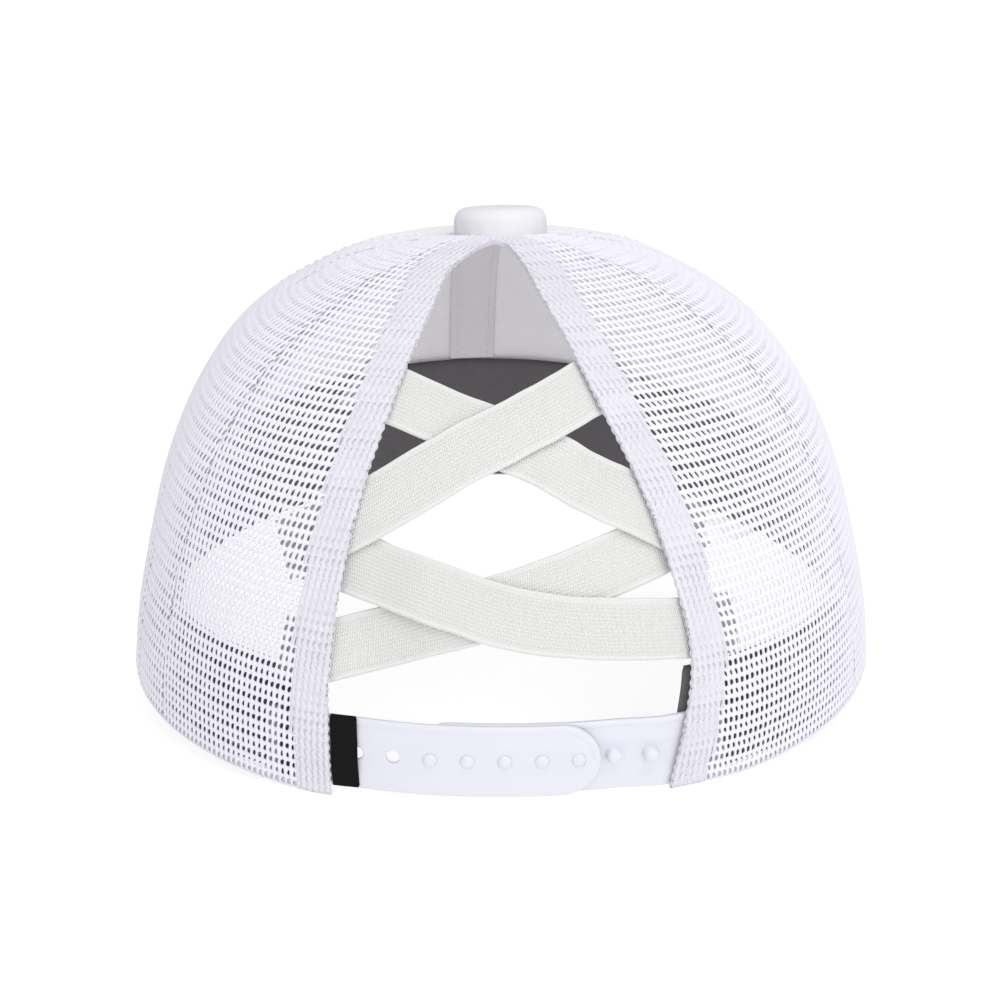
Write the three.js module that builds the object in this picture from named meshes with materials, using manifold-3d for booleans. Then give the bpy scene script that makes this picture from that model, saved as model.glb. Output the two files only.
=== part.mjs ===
// A six-panel trucker cap with a mesh back, a ponytail opening crossed by four elastic straps,
// and a plastic snap closure. It stands as it rests on a table: the rear rim and both side
// edges of the peak touch z = 0. Millimetres, +Z up, the peak points along -Y and the wearer's
// left is +X. The pieces are drawn round the crown's own axis, and the group is then moved so
// that the origin lies on the table under the middle of the whole cap.
//
// Places on the crown are given by an angle and a share. The angle goes round the crown from
// the back centre (0 degrees) over the left side (90) to the front centre (180). The share
// goes up the crown from the rim (0) to the top (1).

import * as THREE from 'three';
import { mergeVertices } from 'three/addons/utils/BufferGeometryUtils.js';
import Module from 'manifold-3d';

const wasm = await Module();
wasm.setup();

// Crown
const CROWN_HEIGHT = 119.5;
const RIM_RISE = 29.2; // height of the rim at the front centre
const FOOT_Y = 69; // the rim lies on the table behind this line
const RIM_BACK_Y = 80.7;
const RIM_FRONT_Y = -80.5;
const GAP = 0.3; // between neighbouring pieces
const MIDDLE_Y = -35.5; // halfway from the peak's front to the snap closure

// Horizontal sections of the crown. height is a share of the crown's height above the rim, and
// widest is the y of the section's widest place.
const CROWN_ROWS = [
  { height: 0.0, halfWidth: 98.7, back: RIM_BACK_Y, front: RIM_FRONT_Y, widest: 8.5 },
  { height: 0.14, halfWidth: 97, back: 81.8, front: -82.5, widest: 8.5 },
  { height: 0.3, halfWidth: 93.5, back: 79, front: -82.5, widest: 7.5 },
  { height: 0.48, halfWidth: 88.5, back: 71, front: -81.5, widest: 5 },
  { height: 0.65, halfWidth: 80.5, back: 59.5, front: -77.5, widest: 2 },
  { height: 0.8, halfWidth: 68.5, back: 45, front: -68.5, widest: -2.5 },
  { height: 0.91, halfWidth: 51, back: 28.5, front: -53, widest: -5.5 },
  { height: 0.975, halfWidth: 33.5, back: 12.5, front: -34.5, widest: -8 },
  { height: 1.0, halfWidth: 0, back: -8, front: -8, widest: -8 },
];
const APEX_Y = -8;

// Seams run in upright planes through the top, at these bearings from the back.
const REAR_SEAM_LEFT = 64;
const REAR_SEAM_RIGHT = -62;
const FRONT_SEAM = 111; // on both sides

// Edges of the ponytail opening as angles, before the round arch closes it at its top.
const OPENING_ROWS = [
  { share: 0.0, left: 30.1, right: -19.9 },
  { share: 0.12, left: 30.9, right: -22.3 },
  { share: 0.24, left: 31.5, right: -24.3 },
  { share: 0.36, left: 30.4, right: -22.4 },
  { share: 0.48, left: 28.4, right: -19.2 },
  { share: 0.6, left: 25.6, right: -14.7 },
  { share: 0.72, left: 24.1, right: -11.5 },
  { share: 0.84, left: 24, right: -8.5 },
  { share: 0.96, left: 28, right: -10 },
];
const ARCH_START = 0.86; // share where the arch begins
const ARCH_TOP = 0.945; // share where the two hems meet
const ARCH_ANGLE = 3;
const ARCH_FULLNESS = 2;
const ARCH_SHARPNESS = 0.6; // 0.5 is an ellipse, more is a more pointed arch
const HEM_WIDTH = 9.6;
const PANEL_ROWS = 20;
const TOP_CROWDING = 0.35;
const HEM_SHARE_LIMIT = 0.93; // above this share a hem keeps its width in degrees
const SEAM_SHARE_LIMIT = 0.97; // above this share a seam keeps its angle

// Walls
const CLOTH_WALL = 1.5;
const MESH_WALL = 1.2;
const HEM_WALL = 1.9;
const BAND_WALL = 1.4;
const BAND_HEIGHTS = { back: 31, front: 37 };
const BAND_RISE = { from: 60, to: 150 }; // degrees from the back between which the sweatband rises
const BAND_FOOT = 0.004; // share at which the sweatband begins
const BAND_SHIFT = { start: 5, end: 17 }; // degrees past the sewn ends where it moves outward
const TAPE_WIDTH = 13.8;
const TAPE_WALL = 1;
const TAPE_TOP = 0.93; // share
const ELASTIC_WIDTH = 15.6;
const ELASTIC_WALL = 1.1;

// How far the layers of the elastic straps lie inside the crown's outer surface.
const OUTER_LAYER = HEM_WALL + GAP;
const MIDDLE_LAYER = OUTER_LAYER + ELASTIC_WALL + GAP;
const INNER_LAYER = MIDDLE_LAYER + ELASTIC_WALL + GAP;

// Centre lines of the elastic straps, each from the left end to the right end.
const UPPER_STRAP_FRONT = [
  { angle: 43, share: 0.375, inset: OUTER_LAYER },
  { angle: 29.4, share: 0.44, inset: OUTER_LAYER },
  { angle: 13.6, share: 0.52, inset: OUTER_LAYER },
  { angle: 4.5, share: 0.556, inset: OUTER_LAYER },
  { angle: -5.6, share: 0.592, inset: OUTER_LAYER },
  { angle: -15, share: 0.623, inset: OUTER_LAYER },
  { angle: -25, share: 0.648, inset: OUTER_LAYER },
];
const UPPER_STRAP_BACK = [
  { angle: 37, share: 0.63, inset: OUTER_LAYER },
  { angle: 25.8, share: 0.611, inset: OUTER_LAYER },
  { angle: 14.1, share: 0.583, inset: MIDDLE_LAYER },
  { angle: 4.5, share: 0.554, inset: MIDDLE_LAYER },
  { angle: -4.4, share: 0.522, inset: MIDDLE_LAYER },
  { angle: -10, share: 0.493, inset: MIDDLE_LAYER },
  { angle: -15, share: 0.467, inset: OUTER_LAYER },
  { angle: -21, share: 0.44, inset: OUTER_LAYER },
  { angle: -30, share: 0.395, inset: OUTER_LAYER },
];
const LOWER_STRAP_FRONT = [
  { angle: 41, share: 0.388, inset: MIDDLE_LAYER },
  { angle: 30.4, share: 0.378, inset: MIDDLE_LAYER },
  { angle: 24, share: 0.365, inset: MIDDLE_LAYER },
  { angle: 18, share: 0.351, inset: OUTER_LAYER },
  { angle: 12, share: 0.335, inset: OUTER_LAYER },
  { angle: 5.2, share: 0.316, inset: OUTER_LAYER },
  { angle: -2.4, share: 0.301, inset: OUTER_LAYER },
  { angle: -10.2, share: 0.291, inset: OUTER_LAYER },
  { angle: -18.4, share: 0.282, inset: OUTER_LAYER },
  { angle: -25, share: 0.275, inset: OUTER_LAYER },
  { angle: -34, share: 0.268, inset: OUTER_LAYER },
];
const LOWER_STRAP_BACK = [
  { angle: 41, share: 0.243, inset: OUTER_LAYER },
  { angle: 34, share: 0.25, inset: OUTER_LAYER },
  { angle: 27, share: 0.27, inset: INNER_LAYER },
  { angle: 20.7, share: 0.289, inset: INNER_LAYER },
  { angle: 12.9, share: 0.31, inset: MIDDLE_LAYER },
  { angle: 5.2, share: 0.329, inset: MIDDLE_LAYER },
  { angle: -2.7, share: 0.348, inset: MIDDLE_LAYER },
  { angle: -11, share: 0.369, inset: MIDDLE_LAYER },
  { angle: -21.8, share: 0.395, inset: MIDDLE_LAYER },
  { angle: -30, share: 0.42, inset: MIDDLE_LAYER },
];

// Snap closure
const SNAP_HALF_WIDTH = 9.6;
const SNAP_WALL = 1.5;
const SNAP_NOSE = 9.6; // length of the rounded end
const SNAP_INSET = HEM_WALL + GAP;
const SNAP_UNDER_INSET = SNAP_INSET + SNAP_WALL + GAP; // of the strap with pegs in the overlap
const HOLE_COUNT = 7;
const HOLE_PITCH = 9.25;
const HOLE_RADIUS = 1.75;
const PEG_COUNT = 7;
const FIRST_PEG_HOLE = 2; // the first two holes stay empty
const PEG_RADIUS = 1.4;
const PEG_HEIGHT = 2.1;
const FIRST_HOLE_ANGLE = 26.7;
const HALF_PITCH_ANGLE = 2.5;
const SNAP_SHARE = 0.08; // share of the straps' centre line
const NOSE_SHARE = 0.3; // part of a strap's columns that goes into its rounded end
const NOSE_TURN = 80; // degrees, so that the end stays a little blunt
const HOLE_STRAP_ENDS = { sewn: 42.3, free: -9.5 };
const PEG_STRAP_ENDS = { sewn: -30, free: 18.4 };
// Height of both straps' centre line.
const SNAP_ROWS = [
  { angle: -30, z: 9.7, pegInset: SNAP_INSET },
  { angle: -19, z: 9.7, pegInset: SNAP_INSET },
  { angle: -13, z: 9.9, pegInset: SNAP_UNDER_INSET },
  { angle: 4, z: 10.6, pegInset: SNAP_UNDER_INSET },
  { angle: 16, z: 10.8, pegInset: SNAP_UNDER_INSET },
  { angle: 27, z: 10.4, pegInset: SNAP_UNDER_INSET },
  { angle: 39, z: 10.1, pegInset: SNAP_UNDER_INSET },
];

// Woven label
const LABEL_WIDTH = 6.8;
const LABEL_TOP = 20.6;
const LABEL_BOTTOM = 1.6;
const LABEL_WALL = 0.5;
const LABEL_INSET = SNAP_INSET - GAP - LABEL_WALL;
const LABEL_ANGLE = 30; // near the left hem

// Peak
const PEAK_WALL = 3;
const PEAK_ARCH = 3; // how far the peak's sides bulge up between rim and free edge
const PEAK_END_ANGLE = 124.5; // where the peak's ends meet the rim
// Half of the peak's free edge, from the front centre to the end at the rim.
const PEAK_ROWS = [
  { out: 0, y: -151, z: 31 },
  { out: 24, y: -149, z: 28.5 },
  { out: 47, y: -142, z: 19 },
  { out: 66, y: -128, z: 7.5 },
  { out: 79, y: -108, z: 0 },
  { out: 84, y: -86, z: 1.5 },
  { out: 84.5, y: -66, z: 11.5 },
  { out: 81.8, y: -46, z: 21.5 },
];

// Top button. Its cap sits forward of its stem.
const BUTTON_RADIUS = 12;
const BUTTON_HEIGHT = 6;
const BUTTON_FORWARD = 4;
const BUTTON_STEM_RADIUS = 2.2;
const BUTTON_STEM_LENGTH = 2.5;
// The cap's outline: in from its radius, and up as a share of its height.
const BUTTON_OUTLINE = [
  { inward: 0.8, up: 0 },
  { inward: 0, up: 0.15 },
  { inward: 0.1, up: 0.55 },
  { inward: 1.3, up: 0.85 },
  { inward: 4, up: 0.97 },
];
const TOP_HOLE_RADIUS = 3.4; // bare ring where the panels end

const COLOURS = {
  cloth: 0xf2f0f4,
  mesh: 0xf0eef8,
  elastic: 0xe8e8e4,
  plastic: 0xe9edf6,
  band: 0x535152,
  label: 0x141415,
  tape: 0xcfcbd2,
};

const radians = THREE.MathUtils.degToRad;

// The value of a named column at t from 0 to 1 along a table with evenly spread rows, by a
// Catmull-Rom spline that carries straight on past both ends.
function column(rows, name, t) {
  const last = rows.length - 1;
  const place = THREE.MathUtils.clamp(t, 0, 1) * last;
  const i = Math.min(Math.floor(place), last - 1);
  const at = (k) => {
    if (k < 0) return 2 * rows[0][name] - rows[1][name];
    if (k > last) return 2 * rows[last][name] - rows[last - 1][name];
    return rows[k][name];
  };
  const f = place - i;
  const [a, b, c, d] = [at(i - 1), at(i), at(i + 1), at(i + 2)];
  const cubic = -a + 3 * b - 3 * c + d;
  const square = 2 * a - 5 * b + 4 * c - d;
  return 0.5 * (2 * b + (c - a) * f + square * f * f + cubic * f * f * f);
}

// The value of a named column at a key, straight between rows.
function lookup(rows, key, name, value) {
  const i = rows.findIndex((row) => row[key] >= value);
  if (i <= 0) return rows[i < 0 ? rows.length - 1 : 0][name];
  const f = (value - rows[i - 1][key]) / (rows[i][key] - rows[i - 1][key]);
  return THREE.MathUtils.lerp(rows[i - 1][name], rows[i][name], f);
}

// Height of the rim's lower edge at a y.
function rimHeight(y) {
  const slope = RIM_RISE / (FOOT_Y - RIM_FRONT_Y);
  return Math.max(0, slope * (FOOT_Y - y));
}

// The crown's outer surface at an angle in degrees and a share.
function crownPoint(angle, share) {
  const row = {};
  for (const name of Object.keys(CROWN_ROWS[0])) row[name] = column(CROWN_ROWS, name, share);
  const cosine = Math.cos(radians(angle));
  const depth = cosine > 0 ? row.back - row.widest : row.widest - row.front;
  const rim = CROWN_ROWS[0];
  const rimDepth = cosine > 0 ? rim.back - rim.widest : rim.widest - rim.front;
  const rimZ = rimHeight(rim.widest + rimDepth * cosine);
  return new THREE.Vector3(
    row.halfWidth * Math.sin(radians(angle)),
    row.widest + depth * cosine,
    rimZ * (1 - row.height) + CROWN_HEIGHT * row.height,
  );
}

// The crown's outward normal.
function crownNormal(angle, share) {
  const step = 0.002;
  const low = Math.min(Math.max(share, step), 1 - 2 * step);
  const along = crownPoint(angle + 0.1, low).sub(crownPoint(angle - 0.1, low));
  const up = crownPoint(angle, low + step).sub(crownPoint(angle, low - step));
  return up.cross(along).normalize();
}

// The direction out through the wall. It is level at the rim, so that the walls' lower edges
// end level with each other.
function wallDirection(angle, share) {
  const normal = crownNormal(angle, share);
  const level = new THREE.Vector3(normal.x, normal.y, 0).normalize();
  return level.lerp(normal, THREE.MathUtils.smoothstep(share, 0, 0.12)).normalize();
}

// A place inside the crown's outer surface.
function insetPoint(angle, share, inset) {
  return crownPoint(angle, share).addScaledVector(wallDirection(angle, share), -inset);
}

// A box with unit sides, cut into columns and rows, whose vertices a function moves into place.
// The function gets across, up and deep, each from 0 to 1, and returns a place.
function bentBox(columns, rows, place) {
  const box = new THREE.BoxGeometry(1, 1, 1, columns, rows, 1);
  box.deleteAttribute('normal');
  box.deleteAttribute('uv');
  const geometry = mergeVertices(box, 1e-4);
  const position = geometry.attributes.position;
  for (let i = 0; i < position.count; i += 1) {
    const [x, y, z] = [position.getX(i), position.getY(i), position.getZ(i)];
    const moved = place(x + 0.5, y + 0.5, z + 0.5);
    position.setXYZ(i, moved.x, moved.y, moved.z);
  }
  if (signedVolume(geometry) < 0) turnFaces(geometry);
  return geometry;
}

function signedVolume(geometry) {
  const { position } = geometry.attributes;
  const index = geometry.index.array;
  const corner = (k) => new THREE.Vector3().fromBufferAttribute(position, index[k]);
  let volume = 0;
  for (let k = 0; k < index.length; k += 3) {
    volume += corner(k).dot(corner(k + 1).cross(corner(k + 2))) / 6;
  }
  return volume;
}

function turnFaces(geometry) {
  const index = geometry.index.array;
  for (let k = 0; k < index.length; k += 3) {
    [index[k + 1], index[k + 2]] = [index[k + 2], index[k + 1]];
  }
}

function toSolid(geometry) {
  const bare = geometry.clone();
  bare.deleteAttribute('normal');
  bare.deleteAttribute('uv');
  const merged = mergeVertices(bare, 1e-4);
  const vertProperties = Float32Array.from(merged.attributes.position.array);
  const triVerts = Uint32Array.from(merged.index.array);
  return new wasm.Manifold(new wasm.Mesh({ numProp: 3, vertProperties, triVerts }));
}

function toGeometry(solid) {
  const mesh = solid.getMesh();
  const geometry = new THREE.BufferGeometry();
  geometry.setAttribute('position', new THREE.BufferAttribute(Float32Array.from(mesh.vertProperties), 3));
  geometry.setIndex(Array.from(mesh.triVerts));
  return geometry;
}

// A round pin whose axis crosses the crown's wall, from one inset to a deeper one.
function crossPin(angle, share, radius, fromInset, toInset) {
  const cylinder = new THREE.CylinderGeometry(radius, radius, toInset - fromInset, 14);
  const turn = new THREE.Quaternion();
  turn.setFromUnitVectors(new THREE.Vector3(0, 1, 0), wallDirection(angle, share));
  const middle = insetPoint(angle, share, (fromInset + toInset) / 2);
  return cylinder.applyQuaternion(turn).translate(middle.x, middle.y, middle.z);
}

const cap = new THREE.Group();
cap.position.y = -MIDDLE_Y;

function addPiece(name, geometry, colour, roughness = 0.9) {
  geometry.computeVertexNormals();
  const material = new THREE.MeshStandardMaterial({ color: colour, roughness, metalness: 0 });
  const mesh = new THREE.Mesh(geometry, material);
  mesh.name = name;
  cap.add(mesh);
}

// Length along the crown for one degree at a place, used to keep gaps and hems even.
function lengthPerDegree(angle, share) {
  return crownPoint(angle + 0.5, share).distanceTo(crownPoint(angle - 0.5, share));
}

// The share at which the panels stop round the button's stem, at an angle.
function topShare(angle) {
  const apex = new THREE.Vector3(0, APEX_Y, CROWN_HEIGHT);
  let low = 0.85;
  let high = 1;
  for (let i = 0; i < 20; i += 1) {
    const middle = (low + high) / 2;
    if (crownPoint(angle, middle).distanceTo(apex) > TOP_HOLE_RADIUS) low = middle;
    else high = middle;
  }
  return low;
}

// A crown panel between two edges, each a function from share to angle. Every panel has the same
// rows, closer together towards the top, so that neighbours meet evenly.
function panel(fromEdge, toEdge, wall, columns) {
  return bentBox(columns, PANEL_ROWS, (across, up, deep) => {
    const guess = up * (1 + TOP_CROWDING * (1 - up));
    const middle = THREE.MathUtils.lerp(fromEdge(guess), toEdge(guess), across);
    const share = guess * topShare(middle);
    const half = GAP / 2 / lengthPerDegree(middle, share);
    const angle = THREE.MathUtils.lerp(fromEdge(share) + half, toEdge(share) - half, across);
    return insetPoint(angle, share, wall * (1 - deep));
  });
}

// An edge of the opening, by its column in the table.
function openingAngle(side, share) {
  const edge = column(OPENING_ROWS, side, share / OPENING_ROWS[OPENING_ROWS.length - 1].share);
  const climb = THREE.MathUtils.clamp((share - ARCH_START) / (ARCH_TOP - ARCH_START), 0, 1);
  return ARCH_ANGLE + (edge - ARCH_ANGLE) * (1 - climb ** ARCH_FULLNESS) ** ARCH_SHARPNESS;
}

// The outer edge of a hem, which runs HEM_WIDTH beside the opening's edge.
function hemAngle(side, share) {
  const away = side === 'left' ? 1 : -1;
  const edge = openingAngle(side, share);
  return edge + (away * HEM_WIDTH) / lengthPerDegree(edge, Math.min(share, HEM_SHARE_LIMIT));
}

// The angle at which a seam's upright plane cuts the crown.
function seamAngle(bearing, share) {
  const side = Math.sign(bearing);
  let low = 0;
  let high = 180;
  for (let i = 0; i < 24; i += 1) {
    const middle = (low + high) / 2;
    const point = crownPoint(middle, Math.min(share, SEAM_SHARE_LIMIT));
    if (Math.atan2(point.x, point.y - APEX_Y) > radians(side * bearing)) high = middle;
    else low = middle;
  }
  return side * low;
}

const leftOpening = (share) => openingAngle('left', share);
const rightOpening = (share) => openingAngle('right', share);
const leftHem = (share) => hemAngle('left', share);
const rightHem = (share) => hemAngle('right', share);
const leftSeam = (share) => seamAngle(REAR_SEAM_LEFT, share);
const rightSeam = (share) => seamAngle(REAR_SEAM_RIGHT, share);
const leftFrontSeam = (share) => seamAngle(FRONT_SEAM, share);
const rightFrontSeam = (share) => seamAngle(-FRONT_SEAM, share);

addPiece('front_panel_left', panel(leftFrontSeam, () => 180, CLOTH_WALL, 10), COLOURS.cloth);
addPiece('front_panel_right', panel(() => -180, rightFrontSeam, CLOTH_WALL, 10), COLOURS.cloth);
addPiece('side_mesh_left', panel(leftSeam, leftFrontSeam, MESH_WALL, 8), COLOURS.mesh);
addPiece('side_mesh_right', panel(rightFrontSeam, rightSeam, MESH_WALL, 8), COLOURS.mesh);
addPiece('rear_mesh_left', panel(leftHem, leftSeam, MESH_WALL, 6), COLOURS.mesh);
addPiece('rear_mesh_right', panel(rightSeam, rightHem, MESH_WALL, 6), COLOURS.mesh);
addPiece('opening_hem_left', panel(leftOpening, leftHem, HEM_WALL, 2), COLOURS.mesh);
addPiece('opening_hem_right', panel(rightHem, rightOpening, HEM_WALL, 2), COLOURS.mesh);

// The share at a height above the table, or at a length up from the rim.
function shareWhere(angle, reached) {
  let low = 0;
  let high = 0.9;
  for (let i = 0; i < 24; i += 1) {
    const middle = (low + high) / 2;
    if (reached(crownPoint(angle, middle))) high = middle;
    else low = middle;
  }
  return low;
}

function shareAtZ(angle, z) {
  return shareWhere(angle, (point) => point.z > z);
}

function shareAtLength(angle, length) {
  const rim = crownPoint(angle, 0);
  return shareWhere(angle, (point) => point.distanceTo(rim) > length);
}

// Sweatband: inside the panels, and further in where the snap straps and the elastic are sewn
// between it and the hems.
function sweatband() {
  const closeInset = CLOTH_WALL + GAP;
  const farInset = SNAP_UNDER_INSET;
  const from = HOLE_STRAP_ENDS.sewn;
  const to = 360 + PEG_STRAP_ENDS.sewn;
  const { start, end } = BAND_SHIFT;
  return bentBox(56, 3, (across, up, deep) => {
    const rough = THREE.MathUtils.lerp(leftOpening(0), 360 + rightOpening(0), across);
    const fromBack = Math.min(rough, 360 - rough);
    const rise = THREE.MathUtils.smoothstep(fromBack, BAND_RISE.from, BAND_RISE.to);
    const height = THREE.MathUtils.lerp(BAND_HEIGHTS.back, BAND_HEIGHTS.front, rise);
    const share = THREE.MathUtils.lerp(BAND_FOOT, shareAtLength(rough, height), up);
    const angle = THREE.MathUtils.lerp(leftOpening(share), 360 + rightOpening(share), across);
    const nearLeft = 1 - THREE.MathUtils.smoothstep(angle, from + start, from + end);
    const nearRight = THREE.MathUtils.smoothstep(angle, to - end, to - start);
    const inset = THREE.MathUtils.lerp(closeInset, farInset, Math.max(nearLeft, nearRight));
    return insetPoint(angle, share, inset + BAND_WALL * (1 - deep));
  });
}
addPiece('sweatband', sweatband(), COLOURS.band);

// Tape inside the front centre seam, from the sweatband's upper edge to the top.
function frontSeamTape() {
  const bottom = shareAtLength(180, BAND_HEIGHTS.front + GAP);
  return bentBox(2, 16, (across, up, deep) => {
    const share = THREE.MathUtils.lerp(bottom, TAPE_TOP, up);
    const angle = 180 + ((across - 0.5) * TAPE_WIDTH) / lengthPerDegree(180, share);
    return insetPoint(angle, share, CLOTH_WALL + GAP + TAPE_WALL * (1 - deep));
  });
}
addPiece('front_seam_tape', frontSeamTape(), COLOURS.tape);

// The angle and share reached from a place by a short step along the crown.
function stepAlong(angle, share, direction, length) {
  const round = crownPoint(angle + 0.5, share).sub(crownPoint(angle - 0.5, share));
  const up = crownPoint(angle, share + 0.005).sub(crownPoint(angle, share - 0.005)).divideScalar(0.01);
  const [rr, ru, uu] = [round.dot(round), round.dot(up), up.dot(up)];
  const [rd, ud] = [round.dot(direction) * length, up.dot(direction) * length];
  const scale = rr * uu - ru * ru;
  return [angle + (rd * uu - ud * ru) / scale, share + (ud * rr - rd * ru) / scale];
}

// An elastic strap that lies inside the crown along a centre line.
function elasticStrap(rows) {
  const centre = (t) => [column(rows, 'angle', t), column(rows, 'share', t)];
  return bentBox(28, 2, (across, up, deep) => {
    const [angle, share] = centre(across);
    const ahead = crownPoint(...centre(Math.min(across + 0.01, 1)));
    const along = ahead.sub(crownPoint(...centre(Math.max(across - 0.01, 0)))).normalize();
    const sideways = along.cross(crownNormal(angle, share)).normalize();
    const place = stepAlong(angle, share, sideways, (up - 0.5) * ELASTIC_WIDTH);
    return insetPoint(...place, column(rows, 'inset', across) + ELASTIC_WALL * (1 - deep));
  });
}
addPiece('upper_strap_front', elasticStrap(UPPER_STRAP_FRONT), COLOURS.elastic);
addPiece('upper_strap_back', elasticStrap(UPPER_STRAP_BACK), COLOURS.elastic);
addPiece('lower_strap_front', elasticStrap(LOWER_STRAP_FRONT), COLOURS.elastic);
addPiece('lower_strap_back', elasticStrap(LOWER_STRAP_BACK), COLOURS.elastic);

const snapHeight = (angle) => lookup(SNAP_ROWS, 'angle', 'z', angle);
const pegStrapInset = (angle) => lookup(SNAP_ROWS, 'angle', 'pegInset', angle);

// A snap strap from its sewn end to its rounded free end.
function snapStrap(ends, insetAt) {
  const side = Math.sign(ends.free - ends.sewn);
  const scale = lengthPerDegree(ends.free, SNAP_SHARE);
  const noseAngle = (side * SNAP_NOSE) / scale;
  return bentBox(32, 2, (across, up, deep) => {
    let angle = THREE.MathUtils.lerp(ends.sewn, ends.free - noseAngle, across / (1 - NOSE_SHARE));
    let halfWidth = SNAP_HALF_WIDTH;
    if (across > 1 - NOSE_SHARE) {
      const turn = Math.min(1, (across - 1 + NOSE_SHARE) / NOSE_SHARE) * radians(NOSE_TURN);
      angle = ends.free - noseAngle + noseAngle * Math.sin(turn);
      halfWidth = SNAP_HALF_WIDTH * Math.cos(turn);
    }
    const z = snapHeight(angle) + (2 * up - 1) * halfWidth;
    const share = shareAtZ(angle, z);
    return insetPoint(angle, share, insetAt(angle) + SNAP_WALL * (1 - deep));
  });
}

// Angles of the holes, one pitch apart. The pegs sit in the same places.
function holeAngle(number) {
  let angle = FIRST_HOLE_ANGLE;
  for (let i = 0; i < number; i += 1) {
    angle -= HOLE_PITCH / lengthPerDegree(angle - HALF_PITCH_ANGLE, SNAP_SHARE);
  }
  return angle;
}

function holeStrap() {
  let solid = toSolid(snapStrap(HOLE_STRAP_ENDS, () => SNAP_INSET));
  for (let i = 0; i < HOLE_COUNT; i += 1) {
    const angle = holeAngle(i);
    const share = shareAtZ(angle, snapHeight(angle));
    const drill = crossPin(angle, share, HOLE_RADIUS, SNAP_INSET - 1, SNAP_INSET + SNAP_WALL + 1);
    solid = solid.subtract(toSolid(drill));
  }
  return toGeometry(solid);
}
addPiece('snap_strap_holes', holeStrap(), COLOURS.plastic, 0.35);

function pegStrap() {
  let solid = toSolid(snapStrap(PEG_STRAP_ENDS, pegStrapInset));
  for (let i = 0; i < PEG_COUNT; i += 1) {
    const angle = holeAngle(FIRST_PEG_HOLE + i);
    const share = shareAtZ(angle, snapHeight(angle));
    const foot = pegStrapInset(angle);
    const peg = crossPin(angle, share, PEG_RADIUS, foot - PEG_HEIGHT, foot + SNAP_WALL / 2);
    solid = solid.add(toSolid(peg));
  }
  return toGeometry(solid);
}
addPiece('snap_strap_pegs', pegStrap(), COLOURS.plastic, 0.35);

// Label sewn at the left hem, in front of the snap strap.
function wovenLabel() {
  return bentBox(4, 4, (across, up, deep) => {
    const z = THREE.MathUtils.lerp(LABEL_BOTTOM, LABEL_TOP, up);
    const share = shareAtZ(LABEL_ANGLE, z);
    const scale = lengthPerDegree(LABEL_ANGLE, share);
    const hem = leftOpening(share) - GAP / scale;
    const angle = hem - (across * LABEL_WIDTH) / scale;
    return insetPoint(angle, shareAtZ(angle, z), LABEL_INSET + LABEL_WALL * (1 - deep));
  });
}
addPiece('woven_label', wovenLabel(), COLOURS.label);

// Peak: straight lines run from the rim to the free edge, with the sides bulged up a little.
function peak() {
  return bentBox(32, 6, (across, up, deep) => {
    const side = 2 * across - 1;
    const out = Math.abs(side);
    const angle = 180 - side * (180 - PEAK_END_ANGLE);
    const thick = PEAK_WALL * deep;
    const rimZ = crownPoint(angle, 0).z;
    const root = insetPoint(angle, shareAtZ(angle, rimZ + thick), -GAP);
    root.z = rimZ + thick;
    const free = new THREE.Vector3(
      Math.sign(side) * column(PEAK_ROWS, 'out', out),
      column(PEAK_ROWS, 'y', out),
      Math.max(0, column(PEAK_ROWS, 'z', out)) + thick,
    );
    const arch = PEAK_ARCH * out * out * 4 * up * (1 - up);
    const place = root.lerp(free, up);
    place.z += arch;
    return place;
  });
}
addPiece('peak', peak(), COLOURS.cloth);

// Top button: a cloth covered cap on a stem through the hole where the panels end.
function topButton() {
  const base = CROWN_HEIGHT + GAP;
  const outline = BUTTON_OUTLINE.map(
    ({ inward, up }) => new THREE.Vector2(BUTTON_RADIUS - inward, base + up * BUTTON_HEIGHT),
  );
  const capProfile = [new THREE.Vector2(0, base), ...outline, new THREE.Vector2(0, base + BUTTON_HEIGHT)];
  const capShape = new THREE.LatheGeometry(capProfile, 28).rotateX(Math.PI / 2);
  const stem = new THREE.CylinderGeometry(
    BUTTON_STEM_RADIUS,
    BUTTON_STEM_RADIUS,
    BUTTON_STEM_LENGTH + BUTTON_HEIGHT / 2,
    14,
  ).rotateX(Math.PI / 2);
  stem.translate(0, APEX_Y, base + BUTTON_HEIGHT / 4 - BUTTON_STEM_LENGTH / 2);
  capShape.translate(0, APEX_Y - BUTTON_FORWARD, 0);
  return toGeometry(toSolid(capShape).add(toSolid(stem)));
}
addPiece('top_button', topButton(), COLOURS.cloth);

export default cap;
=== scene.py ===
# %% [markdown]
# # A trucker cap, seen from behind
#
# The cap stands on a pale table with its peak pointing away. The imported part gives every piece's
# place and size. This lesson gives each piece the finish of the real thing: a knitted net with
# real holes, ribbed elastic, moulded plastic, twill and tape.
#
# Everything is worked out in millimetres in the frame in which the pattern was drawn, and is
# turned into metres in one place, when a mesh is made.

import math

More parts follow.
